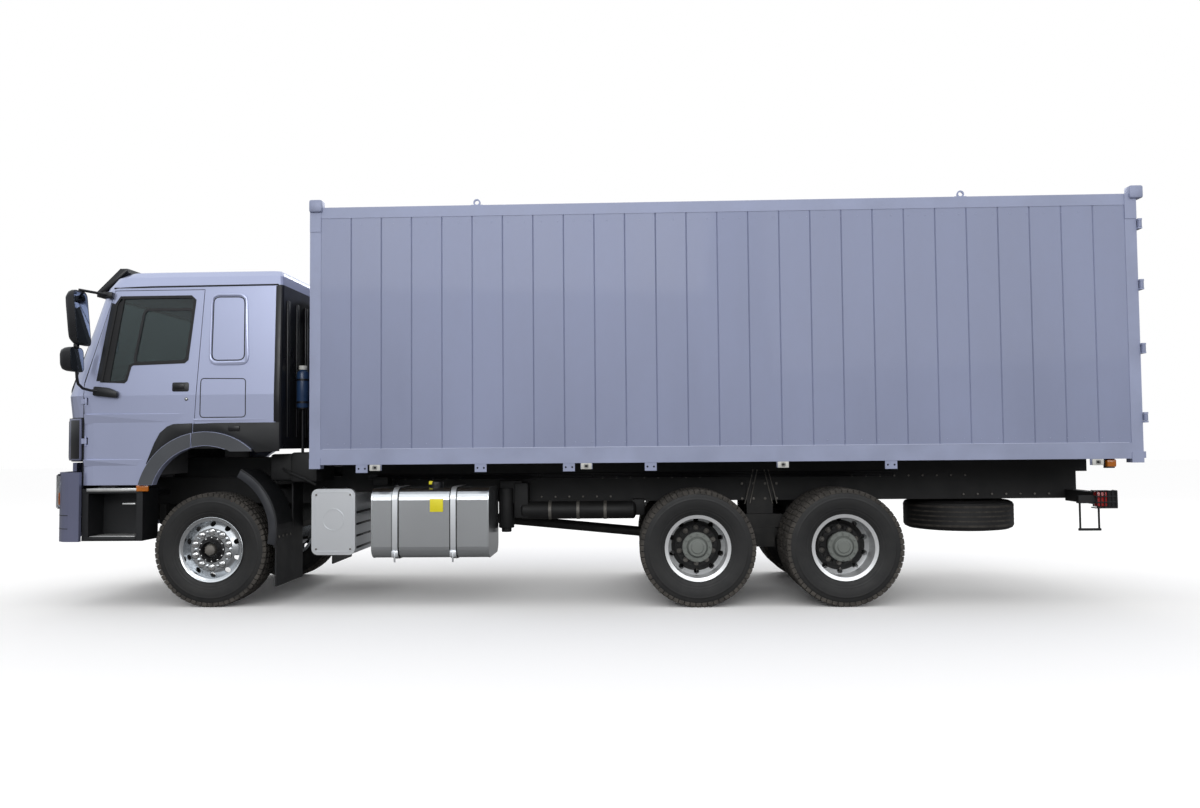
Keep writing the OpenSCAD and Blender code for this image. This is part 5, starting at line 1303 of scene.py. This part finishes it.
# --------------------------------------------- behind the cab and under the box
def behind_cab():
    """The washer bottle on its stand, the air intake and the hoses to the cab."""
    bottle = Shape("washer_bottle")
    bottle.lathe([(0.0, 0.0), (0.052, 0.004), (0.059, 0.020), (0.059, 0.330), (0.052, 0.352),
                  (0.030, 0.370), (0.026, 0.376)], at(0.792, -0.900, 1.885), axis="Z", sides=36)
    bottle.done("chassis", blue_plastic)
    cap = Shape("washer_bottle_cap")
    cap.lathe([(0.028, 0.0), (0.040, 0.003), (0.040, 0.034), (0.036, 0.042), (0.0, 0.043)],
              at(0.792, -0.900, 2.258), axis="Z", sides=30)
    cap.done("chassis", white_paint)
    stand = Shape("bottle_stand")
    stand.tube([at(0.792, -0.900, 1.20), at(0.792, -0.900, 1.60), at(0.792, -0.900, 1.884)], 0.014, 10)
    stand.tube([at(0.792, -0.900, 1.25), at(0.792, -0.60, 1.22), at(0.792, -0.43, 1.20)], 0.016, 10)
    for z in (1.930, 2.150):
        stand.lathe([(0.0595, 0.0), (0.063, 0.001), (0.063, 0.020), (0.0595, 0.021)],
                    at(0.792, -0.900, z), axis="Z", sides=36)
    stand.lathe([(0.0, -0.004), (0.062, -0.004), (0.062, 0.004), (0.0, 0.004)], at(0.792, -0.900, 1.884),
                axis="Z", sides=36)
    stand.done("chassis", black_trim)
    intake = Shape("air_intake")
    intake.block(at(0.735, -0.42, 1.40), at(0.905, 0.10, 1.92), 0.04)
    intake.block(at(0.745, -0.38, 1.92), at(0.880, -0.16, 2.86), 0.05)
    intake.block(at(0.740, -0.42, 2.80), at(0.885, 0.10, 3.02), 0.04)
    slat = Shape("slat")
    slat.block((0, -0.40, 0), (0.010, 0.08, 0.010), 0.002)
    intake.repeat(slat, 8, at(0.880, 0, 2.82), step=(0, 0, 0.024), material=black_trim)
    intake.tube([at(0.82, 0.10, 1.50), at(0.82, 0.32, 1.42), at(0.84, 0.42, 1.30), at(0.90, 0.45, 1.16)],
                0.045, 16)
    intake.block(at(0.760, -0.45, 1.22), at(0.900, 0.45, 1.30), 0.010)
    for y in (-0.40, 0.36):
        intake.block(at(0.770, y, 1.16), at(0.890, y + 0.04, 1.42), 0.006)
    intake.done("chassis", dark_plastic)
    hoses = Shape("cab_hoses")
    for k, y in enumerate((0.24, 0.30, 0.36)):
        hoses.tube([at(0.690, y, 1.66), at(0.76, y, 1.63 - 0.02 * k), at(0.80, y, 1.46),
                    at(0.84, y + 0.02, 1.34), at(0.96, y, 1.26)], 0.011, 8)
    hoses.tube([at(0.75, -0.43, 1.36), at(0.62, -0.47, 1.33), at(0.45, -0.47, 1.31),
                at(0.30, -0.46, 1.30)], 0.012, 8)
    hoses.done("chassis", black_trim)


def rear_suspension():
    """Torque rods, hanger rods with their bolts, and brake chambers of the rear bogie."""
    rods = Shape("torque_rods")
    centre = AXLE_X + 5.275
    for way in (-1, 1):
        start = Vector((centre + way * 0.120, -0.470, 0.62))
        end = Vector((centre + way * 0.560, -0.470, 0.405))
        rods.rod(start, end, 0.030, round_by=0.006)
        for point in (start, end):
            rods.rod(point + Vector((0, -0.045, 0)), point + Vector((0, 0.045, 0)), 0.052, round_by=0.006)
    rods.both("chassis", axle_black)
    braces = Shape("hanger_rods")
    for top, foot in ((5.215, 5.125), (5.255, 5.175), (5.325, 5.400), (5.365, 5.445)):
        braces.tube([at(top, -0.432, 1.240), at((top + foot) / 2, -0.445, 1.07), at(foot, -0.450, 0.900)],
                    0.006, 8)
    braces.both("chassis", worn_steel)
    chambers = Shape("brake_chambers")
    for hub in (4.600, 5.950):
        for way in (-1, 1):
            middle_at = at(hub + way * 0.200, -0.345, 0.760)
            chambers.lathe([(0.0, -0.09), (0.075, -0.085), (0.085, -0.06), (0.085, -0.012),
                            (0.095, -0.010), (0.095, 0.010), (0.085, 0.012), (0.085, 0.06),
                            (0.070, 0.085), (0.0, 0.09)], middle_at, axis="Y", sides=32)
    chambers.both("chassis", axle_black)
    plates = Shape("hanger_bolts")
    bolt = Shape("bolt")
    bolt.rod((0, 0, 0), (0, -0.014, 0), 0.014, sides=6, round_by=0.001)
    for station, z in ((5.10, 0.95), (5.10, 1.10)):
        plates.repeat(bolt, 4, at(station, -0.430, z), step=(0.115, 0, 0))
    plates.both("chassis", worn_steel)


def frame_details():
    """Rows of bolts and brake pipes along the rails."""
    bolts = Shape("rail_bolts")
    bolt = Shape("bolt")
    bolt.rod((0, 0, 0), (0, -0.010, 0), 0.011, sides=6, round_by=0.001)
    for station, count, z in ((1.55, 6, 1.17), (3.70, 8, 1.17), (6.20, 9, 1.17), (7.30, 7, 0.98),
                              (2.80, 8, 0.98)):
        bolts.repeat(bolt, count, at(station, RAIL_Y, z), step=(0.14, 0, 0))
    bolts.both("chassis", worn_steel)
    pipes = Shape("brake_pipes")
    for k in range(4):
        z = 1.215 - 0.014 * k
        pipes.tube([at(1.30, RAIL_Y - 0.010, z), at(2.60, RAIL_Y - 0.010, z - 0.004),
                    at(4.20, RAIL_Y - 0.010, z), at(6.60, RAIL_Y - 0.010, z - 0.003)], 0.0055, 6)
    pipes.both("chassis", black_trim)


def tail():
    """Rear lamps behind their grids, and marker lamps on their brackets."""
    low, high = node_box("rear_lamp_bars")
    x0, x1 = AXLE_X + 8.225, high.x - 0.010
    lamp = Shape("rear_lamp_lens")
    lamp.block(at(8.240, low.y - 0.004, 0.900), at(8.330, low.y + 0.080, 1.036), 0.010)
    lamp.both("chassis", red_lens)
    grid = Shape("rear_lamp_grid")
    for z in (0.889, 0.940, 0.992, 1.043):
        grid.tube([(x0, low.y + 0.080, z), (x0, low.y - 0.010, z), (x1, low.y - 0.010, z),
                   (x1, low.y + 0.080, z)], 0.0055, 8)
    wire = Shape("wire")
    wire.rod((0, 0, -0.077), (0, 0, 0.077), 0.005, sides=8)
    grid.repeat(wire, 6, (x0 + 0.008, low.y - 0.011, 0.966), step=((x1 - x0 - 0.016) / 5, 0, 0),
                material=black_trim)
    grid.both("chassis", black_trim)
    marker = Shape("rear_marker_lamp")
    marker.block(at(8.335, -SKIN - 0.020, 1.262), at(8.418, -SKIN + 0.030, 1.330), 0.010)
    marker.both("chassis", amber_lens)
    bracket = Shape("rear_marker_bracket")
    bracket.block(at(8.325, -SKIN + 0.028, 1.250), at(8.425, -SKIN + 0.040, 1.345), 0.003)
    bracket.both("chassis", black_trim)


def box_details():
    """Rivet rows, a light strip along the sill's top that paints its highlight, corner caps and the ribs of
    the roof and front wall.
    """
    low, high = node_box("box_frame")
    wall_low, wall_high = node_box("box_side_walls")
    rivets = Shape("box_rivets")
    rivet = Shape("rivet")
    rivet.ball((0, 0, 0), 0.0055, (1, 0.45, 1))
    y = wall_low.y - 0.0005
    count = int((wall_high.x - wall_low.x) / 0.155)
    for z in (wall_low.z + 0.050, wall_high.z - 0.060):
        rivets.repeat(rivet, count, (wall_low.x + 0.07, y, z), step=(0.155, 0, 0), material=box_steel)
    rivets.both("chassis", box_steel)
    # A thin light strip along the sill's top: a painted highlight.
    highlight_strip = Shape("box_sill_highlight")
    highlight_strip.block((wall_low.x + 0.02, wall_low.y - 0.004, wall_low.z - 0.002),
                (wall_high.x - 0.02, wall_low.y + 0.004, wall_low.z + 0.005), 0.001)
    highlight_strip.both("chassis", sill_highlight_paint)
    caps = Shape("box_corner_caps")
    for x in (low.x, high.x - 0.115):
        caps.block((x - 0.004, low.y - 0.004, high.z - 0.115), (x + 0.119, low.y + 0.112, high.z + 0.004),
                   0.018)
    caps.both("chassis", box_steel)
    ribs = Shape("box_roof_ribs")
    roof_low, roof_high = node_box("box_roof")
    rib = Shape("rib")
    rib.block((-0.020, roof_low.y + 0.03, 0), (0.020, roof_high.y - 0.03, 0.010), 0.004)
    ribs.repeat(rib, 13, (roof_low.x + 0.30, 0, roof_high.z - 0.004),
                step=((roof_high.x - roof_low.x - 0.60) / 12, 0, 0), material=box_paint)
    ribs.done("chassis", box_paint)
    front_low, front_high = node_box("box_front_wall")
    front_ribs = Shape("box_front_ribs")
    post = Shape("post")
    post.block((-0.010, -0.018, front_low.z + 0.05), (0.004, 0.018, front_high.z - 0.05), 0.004)
    front_ribs.repeat(post, 7, (front_low.x, -0.99, 0), step=(0, 0.33, 0), material=box_paint)
    front_ribs.done("chassis", box_paint)


def rear_door_details():
    """Gaskets, lock bars with cams and handles, and strap bolts of the two rear doors."""
    for side, way in SIDES:
        low, high = node_box("rear_door_" + side)
        edge, floor, header = abs(low.y if way < 0 else high.y), low.z - 0.006, high.z + 0.006
        gasket = Shape("rear_door_gasket_" + side)
        for z in (low.z + 0.004, high.z - 0.016):
            gasket.block((low.x - 0.002, min(0.020 * way, (edge - 0.14) * way), z),
                         (high.x - 0.030, max(0.020 * way, (edge - 0.14) * way), z + 0.012), 0.004)
        gasket.done("rear_door_" + side, seal_rubber)
        bars = Shape("rear_lock_bars_" + side)
        x, grip = high.x - 0.018, floor + 0.7175
        for share in (0.325, 0.900):
            y, inward = way * share, -way
            bars.rod((x, y, low.z + 0.012), (x, y, high.z - 0.012), 0.0168, sides=20)
            for z in (low.z + 0.012, high.z - 0.052):
                bars.block((x - 0.014, y - 0.026, z), (x + 0.016, y + 0.026, z + 0.040), 0.006)
            bars.rod((x, y, grip - 0.050), (x, y, grip + 0.050), 0.0215, sides=20)
            bars.tube([(high.x - 0.014, y, grip), (high.x - 0.010, y + inward * 0.060, grip),
                       (high.x - 0.010, y + inward * 0.215, grip),
                       (high.x - 0.012, y + inward * 0.268, grip)], 0.0185, 12)
            bars.ball((high.x - 0.012, y + inward * 0.268, grip), 0.0185)
            for k in (0.06, 0.35, 0.65, 0.94):
                z = low.z + (high.z - low.z) * k
                for out in (-0.029, 0.029):
                    bars.rod((high.x - 0.002, y + out, z), (high.x + 0.003, y + out, z), 0.0075, sides=6)
        bars.done("rear_door_" + side, bright_steel)
        bolts = Shape("rear_hinge_bolts_" + side)
        for z in (floor + 0.230, floor + 0.860, header - 0.740, header - 0.180):
            for bolt in (0.16, 0.21, 0.26):
                y = way * (edge - bolt)
                bolts.rod((high.x - 0.024, y, z), (high.x - 0.014, y, z), 0.011, sides=6)
        bolts.done("rear_door_" + side, box_steel)


def sill_plates():
    """White-painted twist plates below the box's sill, each with a black block that paints the shade inside
    its slot.
    """
    low = node_box("box_frame")[0]
    face_y = low.y + 0.009
    # Each plate gets a black block in its slot: painted shade inside the hole.
    plates, slot_shades = Shape("sill_plates"), Shape("sill_plate_slot_shades")
    for station in (1.604, 3.577, 5.387, 8.227):
        plates.block(at(station - 0.050, face_y - 0.004, low.z + 0.019),
                     at(station + 0.050, face_y + 0.010, low.z + 0.075), 0.003)
        slot_shades.block(at(station - 0.020, face_y - 0.0055, low.z + 0.030),
                    at(station + 0.020, face_y, low.z + 0.066), 0.010)
    plates.both("chassis", white_paint)
    slot_shades.both("chassis", seal_rubber)


def rail_side_parts():
    """Valves, brackets and a drier on the rails between the tanks and the rear wheels."""
    parts = Shape("rail_side_parts")
    parts.rod(at(2.735, -0.53, 0.680), at(2.735, -0.53, 1.080), 0.078, round_by=0.012)
    parts.rod(at(2.735, -0.53, 0.640), at(2.735, -0.53, 0.690), 0.050, round_by=0.008)
    parts.block(at(2.820, -0.60, 0.780), at(2.960, -0.430, 1.130), 0.012)
    parts.block(at(2.670, -0.56, 0.920), at(2.900, -0.430, 1.150), 0.012)
    parts.block(at(3.990, -0.56, 0.800), at(4.120, -0.430, 0.960), 0.012)
    parts.block(at(1.400, -0.60, 1.120), at(1.550, -0.430, 1.200), 0.010)
    parts.both("chassis", frame_black)
    back = Shape("cab_rear_housings")
    back.block(at(0.700, -0.99, 1.165), at(0.965, -0.435, 1.455), 0.030)
    back.block(at(0.480, -0.93, 1.180), at(0.720, -0.435, 1.440), 0.030)
    back.tube([at(0.62, -0.96, 1.30), at(0.70, -1.00, 1.26), at(0.85, -1.01, 1.20),
               at(0.95, -0.98, 1.14)], 0.012, 8)
    back.both("chassis", frame_black)


behind_cab()
rail_side_parts()
sill_plates()
rear_suspension()
frame_details()
tail()
box_details()
rear_door_details()


# ------------------------------------------------------------ the interior
CLOTH_FRAMES = 16


def padded_form(name, low, high, pressure, cap, turn=0.0):
    """A cushion's mesh: a rounded slab swollen as cloth, no point moving further than cap."""
    low, high = Vector(low), Vector(high)
    size, centre = high - low, (low + high) / 2
    rounding = min(size) * 0.36
    part = bmesh.new()
    bmesh.ops.create_cube(part, size=1.0)
    bmesh.ops.subdivide_edges(part, edges=part.edges[:], cuts=16, use_grid_fill=True)
    for v in part.verts:
        p = Vector([c * s for c, s in zip(v.co, size)])
        core = Vector([max(min(c, s / 2 - rounding), rounding - s / 2) for c, s in zip(p, size)])
        out = p - core
        v.co = core + (out.normalized() * min(out.length, rounding) if out.length > 1e-6 else out)
    mesh = bpy.data.meshes.new(name)
    part.to_mesh(mesh)
    part.free()
    obj = bpy.data.objects.new(name + "_cloth", mesh)
    scene = bpy.context.scene
    scene.collection.objects.link(obj)
    first = [v.co.copy() for v in mesh.vertices]
    held = obj.vertex_groups.new(name="held")
    held.add([v.index for v in mesh.vertices if v.co.z < -size.z / 2 + size.z * 0.12], 1.0, "REPLACE")
    cloth = obj.modifiers.new("cloth", "CLOTH")
    cloth.settings.vertex_group_mass = "held"
    cloth.settings.use_pressure = True
    cloth.settings.uniform_pressure_force = pressure
    cloth.settings.effector_weights.gravity = 0.0
    cloth.settings.tension_stiffness = cloth.settings.compression_stiffness = 20
    cloth.settings.bending_stiffness = 2.0
    cloth.point_cache.frame_start, cloth.point_cache.frame_end = 1, CLOTH_FRAMES
    for step in range(1, CLOTH_FRAMES + 1):
        scene.frame_set(step)
    graph = bpy.context.evaluated_depsgraph_get()
    swollen = bpy.data.meshes.new_from_object(obj.evaluated_get(graph))
    for vertex, start in zip(swollen.vertices, first):
        move = vertex.co - start
        if move.length > cap:
            vertex.co = start + move.normalized() * cap
    obj.modifiers.clear()
    obj.data = swollen
    scene.frame_set(1)
    final = obj.data.copy()
    bpy.data.objects.remove(obj)
    final.transform(Matrix.Translation(centre) @ Matrix.Rotation(turn, 4, "Y"))
    return final


def cushion(name, mesh, material, node, mirror=False):
    """A padded piece from a swollen form, smoothed once, that stands in for a node of the cab."""
    obj = bpy.data.objects.new(name, mesh.copy())
    bpy.context.scene.collection.objects.link(obj)
    if mirror:
        obj.data.transform(Matrix.Diagonal((1, -1, 1, 1)))
        obj.data.flip_normals()
    obj.data.materials.clear()
    obj.data.materials.append(material)
    smooth = obj.modifiers.new("smooth", "SUBSURF")
    smooth.levels = smooth.render_levels = 1
    graph = bpy.context.evaluated_depsgraph_get()
    final = bpy.data.meshes.new_from_object(obj.evaluated_get(graph))
    obj.modifiers.clear()
    obj.data = final
    final.shade_smooth()
    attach(obj, "cab")
    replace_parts(obj, node)


def seats():
    """Two seats: swollen cushions and backs with side bolsters, headrests, and a sprung base."""
    low = node_box("seats")[0]
    y_out, y_in = low.y, -0.370
    forms = (
        ("seat_cushion", at(-0.770, y_out + 0.030, 1.838), at(-0.250, y_in - 0.030, 1.972), 5.0, 0.012, 0),
        ("seat_back", at(-0.245, y_out + 0.035, 1.930), at(-0.135, y_in - 0.035, 2.640), 5.0, 0.012, 12),
        ("seat_headrest", at(-0.165, y_out + 0.125, 2.650), at(-0.085, y_in - 0.125, 2.828), 4.0, 0.008, 7),
    )
    for name, start, end, pressure, cap, lean in forms:
        mesh = padded_form(name, start, end, pressure=pressure, cap=cap, turn=math.radians(lean))
        cushion(name + "_left", mesh, fabric, node="seats")
        cushion(name + "_right", mesh, fabric, node="seats", mirror=True)
    bolster = padded_form("seat_bolster", at(-0.235, y_out + 0.018, 2.02),
                          at(-0.140, y_out + 0.075, 2.56), pressure=4.0, cap=0.006, turn=math.radians(12))
    other = bolster.copy()
    other.transform(Matrix.Translation((0, y_in - y_out - 0.093, 0)))
    for k, mesh in enumerate((bolster, other)):
        cushion(f"seat_bolster_{k}_left", mesh, fabric, node="seats")
        cushion(f"seat_bolster_{k}_right", mesh, fabric, node="seats", mirror=True)
    base = Shape("seat_bases")
    base.block(at(-0.700, y_out + 0.080, low.z), at(-0.330, y_in - 0.080, low.z + 0.035), 0.006)
    base.block(at(-0.690, y_out + 0.090, low.z + 0.035), at(-0.340, y_in - 0.090, 1.790), 0.030)
    base.block(at(-0.740, y_out + 0.040, 1.790), at(-0.220, y_in - 0.040, 1.838), 0.012)
    base.plate([(AXLE_X - 0.250, 1.80), (AXLE_X - 0.190, 1.80), (AXLE_X - 0.075, 2.62),
                (AXLE_X - 0.105, 2.64)], y_out + 0.030, y_in - 0.030, round_by=0.01)
    for y in (y_out + 0.20, y_in - 0.20):
        base.rod(at(-0.122, y, 2.60), at(-0.122, y, 2.70), 0.008, sides=12)
    fold = Shape("fold")
    fold.block((0, y_out + 0.086, 0), (0.36, y_in - 0.086, 0.012), 0.005)
    base.repeat(fold, 5, at(-0.695, 0, 1.60), step=(0, 0, 0.036), material=black_trim)
    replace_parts(base.both("cab", black_trim), "seats")


def bunk():
    """The bunk's mattress on its two-step board."""
    low, high = node_box("bunk")
    mesh = padded_form("mattress", (low.x + 0.012, low.y + 0.015, 1.886),
                       (high.x - 0.012, high.y - 0.015, high.z - 0.012), pressure=4.0, cap=0.010)
    cushion("bunk_mattress", mesh, bunk_fabric, node="bunk")
    board = Shape("bunk_board")
    board.block((low.x + 0.020, low.y, low.z), (high.x, high.y, 1.862), 0.008)
    board.block((low.x + 0.004, low.y + 0.004, 1.862), (high.x - 0.002, high.y - 0.004, 1.884), 0.006)
    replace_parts(board.done("cab", interior_grey), "bunk")


def cab_inside():
    """The gauges under their hood, air vents, pedals, the gear lever and the curtain rail."""
    hood = Shape("gauge_hood")
    hood.plate([(AXLE_X - 1.235, 2.085), (AXLE_X - 1.180, 2.190), (AXLE_X - 1.080, 2.175),
                (AXLE_X - 1.045, 2.085)], -0.900, -0.340, round_by=0.02)
    hood.done("cab", dark_plastic)
    dials = Shape("gauge_faces")
    for y, radius in ((-0.70, 0.055), (-0.54, 0.055), (-0.62, 0.028)):
        dials.lathe([(radius, 0.0), (radius + 0.006, -0.002), (radius + 0.006, 0.006), (radius, 0.007),
                     (radius - 0.004, 0.003), (0.0, 0.003)], at(-1.052, y, 2.135), axis="X", sides=30)
    dials.done("cab", white_paint)
    vents = Shape("dash_vents")
    slat = Shape("slat")
    slat.block((-0.004, -0.070, -0.003), (0.010, 0.070, 0.003), 0.001)
    for y in (-0.98, 0.0, 0.55, 0.98):
        vents.repeat(slat, 5, at(-1.006, y, 2.005), step=(0, 0, 0.014), material=black_trim)
    vents.done("cab", black_trim)
    pedals = Shape("pedals")
    for y in (-0.78, -0.62, -0.48):
        pedals.block(at(-1.090, y - 0.035, 1.540), at(-1.050, y + 0.035, 1.620), 0.008,
                     turn=("Y", math.radians(25)))
        pedals.tube([at(-1.070, y, 1.60), at(-1.110, y, 1.70), at(-1.130, y, 1.83), at(-1.150, y, 1.895)],
                    0.010, 8)
    pedals.done("cab", black_trim)
    lever = Shape("gear_lever")
    lever.tube([at(-0.760, -0.20, 1.620), at(-0.800, -0.20, 1.80), at(-0.815, -0.21, 2.02)], 0.010, 10)
    lever.ball(at(-0.816, -0.21, 2.035), 0.028, (1, 1, 1.15))
    lever.lathe([(0.075, 0.0), (0.070, 0.02), (0.045, 0.06), (0.030, 0.10), (0.014, 0.12)],
                at(-0.757, -0.20, 1.590), axis="Z", sides=28)
    lever.done("cab", black_trim)
    rail = Shape("curtain_rail")
    rail.tube([at(-0.060, -1.04, 2.955), at(-0.060, 0, 2.965), at(-0.060, 1.04, 2.955)], 0.009, 8)
    rail.done("cab", bright_steel)


seats()
bunk()
cab_inside()


# ------------------------------------------------------- stage and camera
def place_camera():
    """A standing viewer some ten metres off the left side, nearly square to it."""
    yaw, pitch, roll = -0.0350, 0.0418, -0.0087
    forward = Vector((math.sin(yaw) * math.cos(pitch), math.cos(yaw) * math.cos(pitch), math.sin(pitch)))
    right = Vector((math.cos(yaw), -math.sin(yaw), 0))
    up = right.cross(forward)
    x_axis = right * math.cos(roll) + up * math.sin(roll)
    y_axis = up * math.cos(roll) - right * math.sin(roll)
    camera_data = bpy.data.cameras.new("camera")
    camera_data.sensor_width = 36
    camera_data.lens = 28.498
    camera_data.clip_end = 300
    camera = bpy.data.objects.new("camera", camera_data)
    bpy.context.scene.collection.objects.link(camera)
    rows = Matrix((x_axis, y_axis, -forward)).transposed().to_4x4()
    camera.matrix_world = Matrix.Translation((AXLE_X + 4.016, -10.061, 1.513)) @ rows
    bpy.context.scene.camera = camera


def soft_light(name, place, target, size, power):
    """An area lamp at a place, turned towards a target."""
    data = bpy.data.lights.new(name, "AREA")
    data.shape = "RECTANGLE"
    data.size, data.size_y = size
    data.energy = power
    lamp = bpy.data.objects.new(name, data)
    lamp.location = place
    lamp.rotation_euler = (Vector(target) - Vector(place)).to_track_quat("-Z", "Y").to_euler()
    bpy.context.scene.collection.objects.link(lamp)


def white_surround():
    """Soft light from all round, plain white to the camera, a sky over dark ground to metal and glass."""
    world = bpy.data.worlds.new("surround")
    bpy.context.scene.world = world
    world.use_nodes = True
    tree = world.node_tree
    tree.nodes.clear()
    path = add(tree, "ShaderNodeLightPath")
    plain = add(tree, "ShaderNodeBackground")
    plain.inputs["Color"].default_value = (1, 1, 1, 1)
    sky = add(tree, "ShaderNodeBackground")
    split = add(tree, "ShaderNodeSeparateXYZ")
    tree.links.new(add(tree, "ShaderNodeTexCoord").outputs["Generated"], split.inputs[0])
    tree.links.new(ramp(tree, split.outputs["Z"], 0.0, 0.30, (0.10, 0.105, 0.11), (0.92, 0.96, 1.0)),
                   sky.inputs["Color"])
    soft = add(tree, "ShaderNodeBackground")
    tree.links.new(ramp(tree, split.outputs["Z"], -0.1, 0.5, (0.70, 0.70, 0.72), (1.0, 1.0, 1.0)),
                   soft.inputs["Color"])
    soft.inputs["Strength"].default_value = 1.0
    shiny = calc(tree, "MAXIMUM", path.outputs["Is Glossy Ray"], path.outputs["Is Transmission Ray"])
    first = add(tree, "ShaderNodeMixShader")
    tree.links.new(shiny, first.inputs[0])
    tree.links.new(soft.outputs[0], first.inputs[1])
    tree.links.new(sky.outputs[0], first.inputs[2])
    last = add(tree, "ShaderNodeMixShader")
    tree.links.new(path.outputs["Is Camera Ray"], last.inputs[0])
    tree.links.new(first.outputs[0], last.inputs[1])
    tree.links.new(plain.outputs[0], last.inputs[2])
    output = add(tree, "ShaderNodeOutputWorld")
    tree.links.new(last.outputs[0], output.inputs["Surface"])


def pale_floor():
    """White to the camera, darker to bounced light so that the underside stays in shade."""
    mesh = bpy.data.meshes.new("floor")
    reach = 60.0
    mesh.from_pydata([(x, y, 0.0) for x, y in ((-reach, -reach), (reach, -reach), (reach, reach),
                                               (-reach, reach))], [], [(0, 1, 2, 3)])
    floor = bpy.data.objects.new("floor", mesh)
    bpy.context.scene.collection.objects.link(floor)
    material, tree, shader = new_material("pale_floor")
    path = add(tree, "ShaderNodeLightPath")
    shade = blend_colour(tree, path.outputs["Is Camera Ray"], (0.22, 0.22, 0.22), (1.0, 1.0, 1.0))
    tree.links.new(shade, shader.inputs["Base Color"])
    shader.inputs["Roughness"].default_value = 0.9
    shader.inputs["Specular IOR Level"].default_value = 0.0
    mesh.materials.append(material)


place_camera()
white_surround()
pale_floor()
soft_light("key", (-3, -20, 9), target=(0, 0, 1.6), size=(12, 6), power=900)
soft_light("fill", (9, -18, 6), target=(2, 0, 1.6), size=(10, 5), power=300)
soft_light("back", (2, 12, 9), target=(0, 0, 2), size=(10, 5), power=400)
bpy.context.scene.view_settings.view_transform = "Standard"
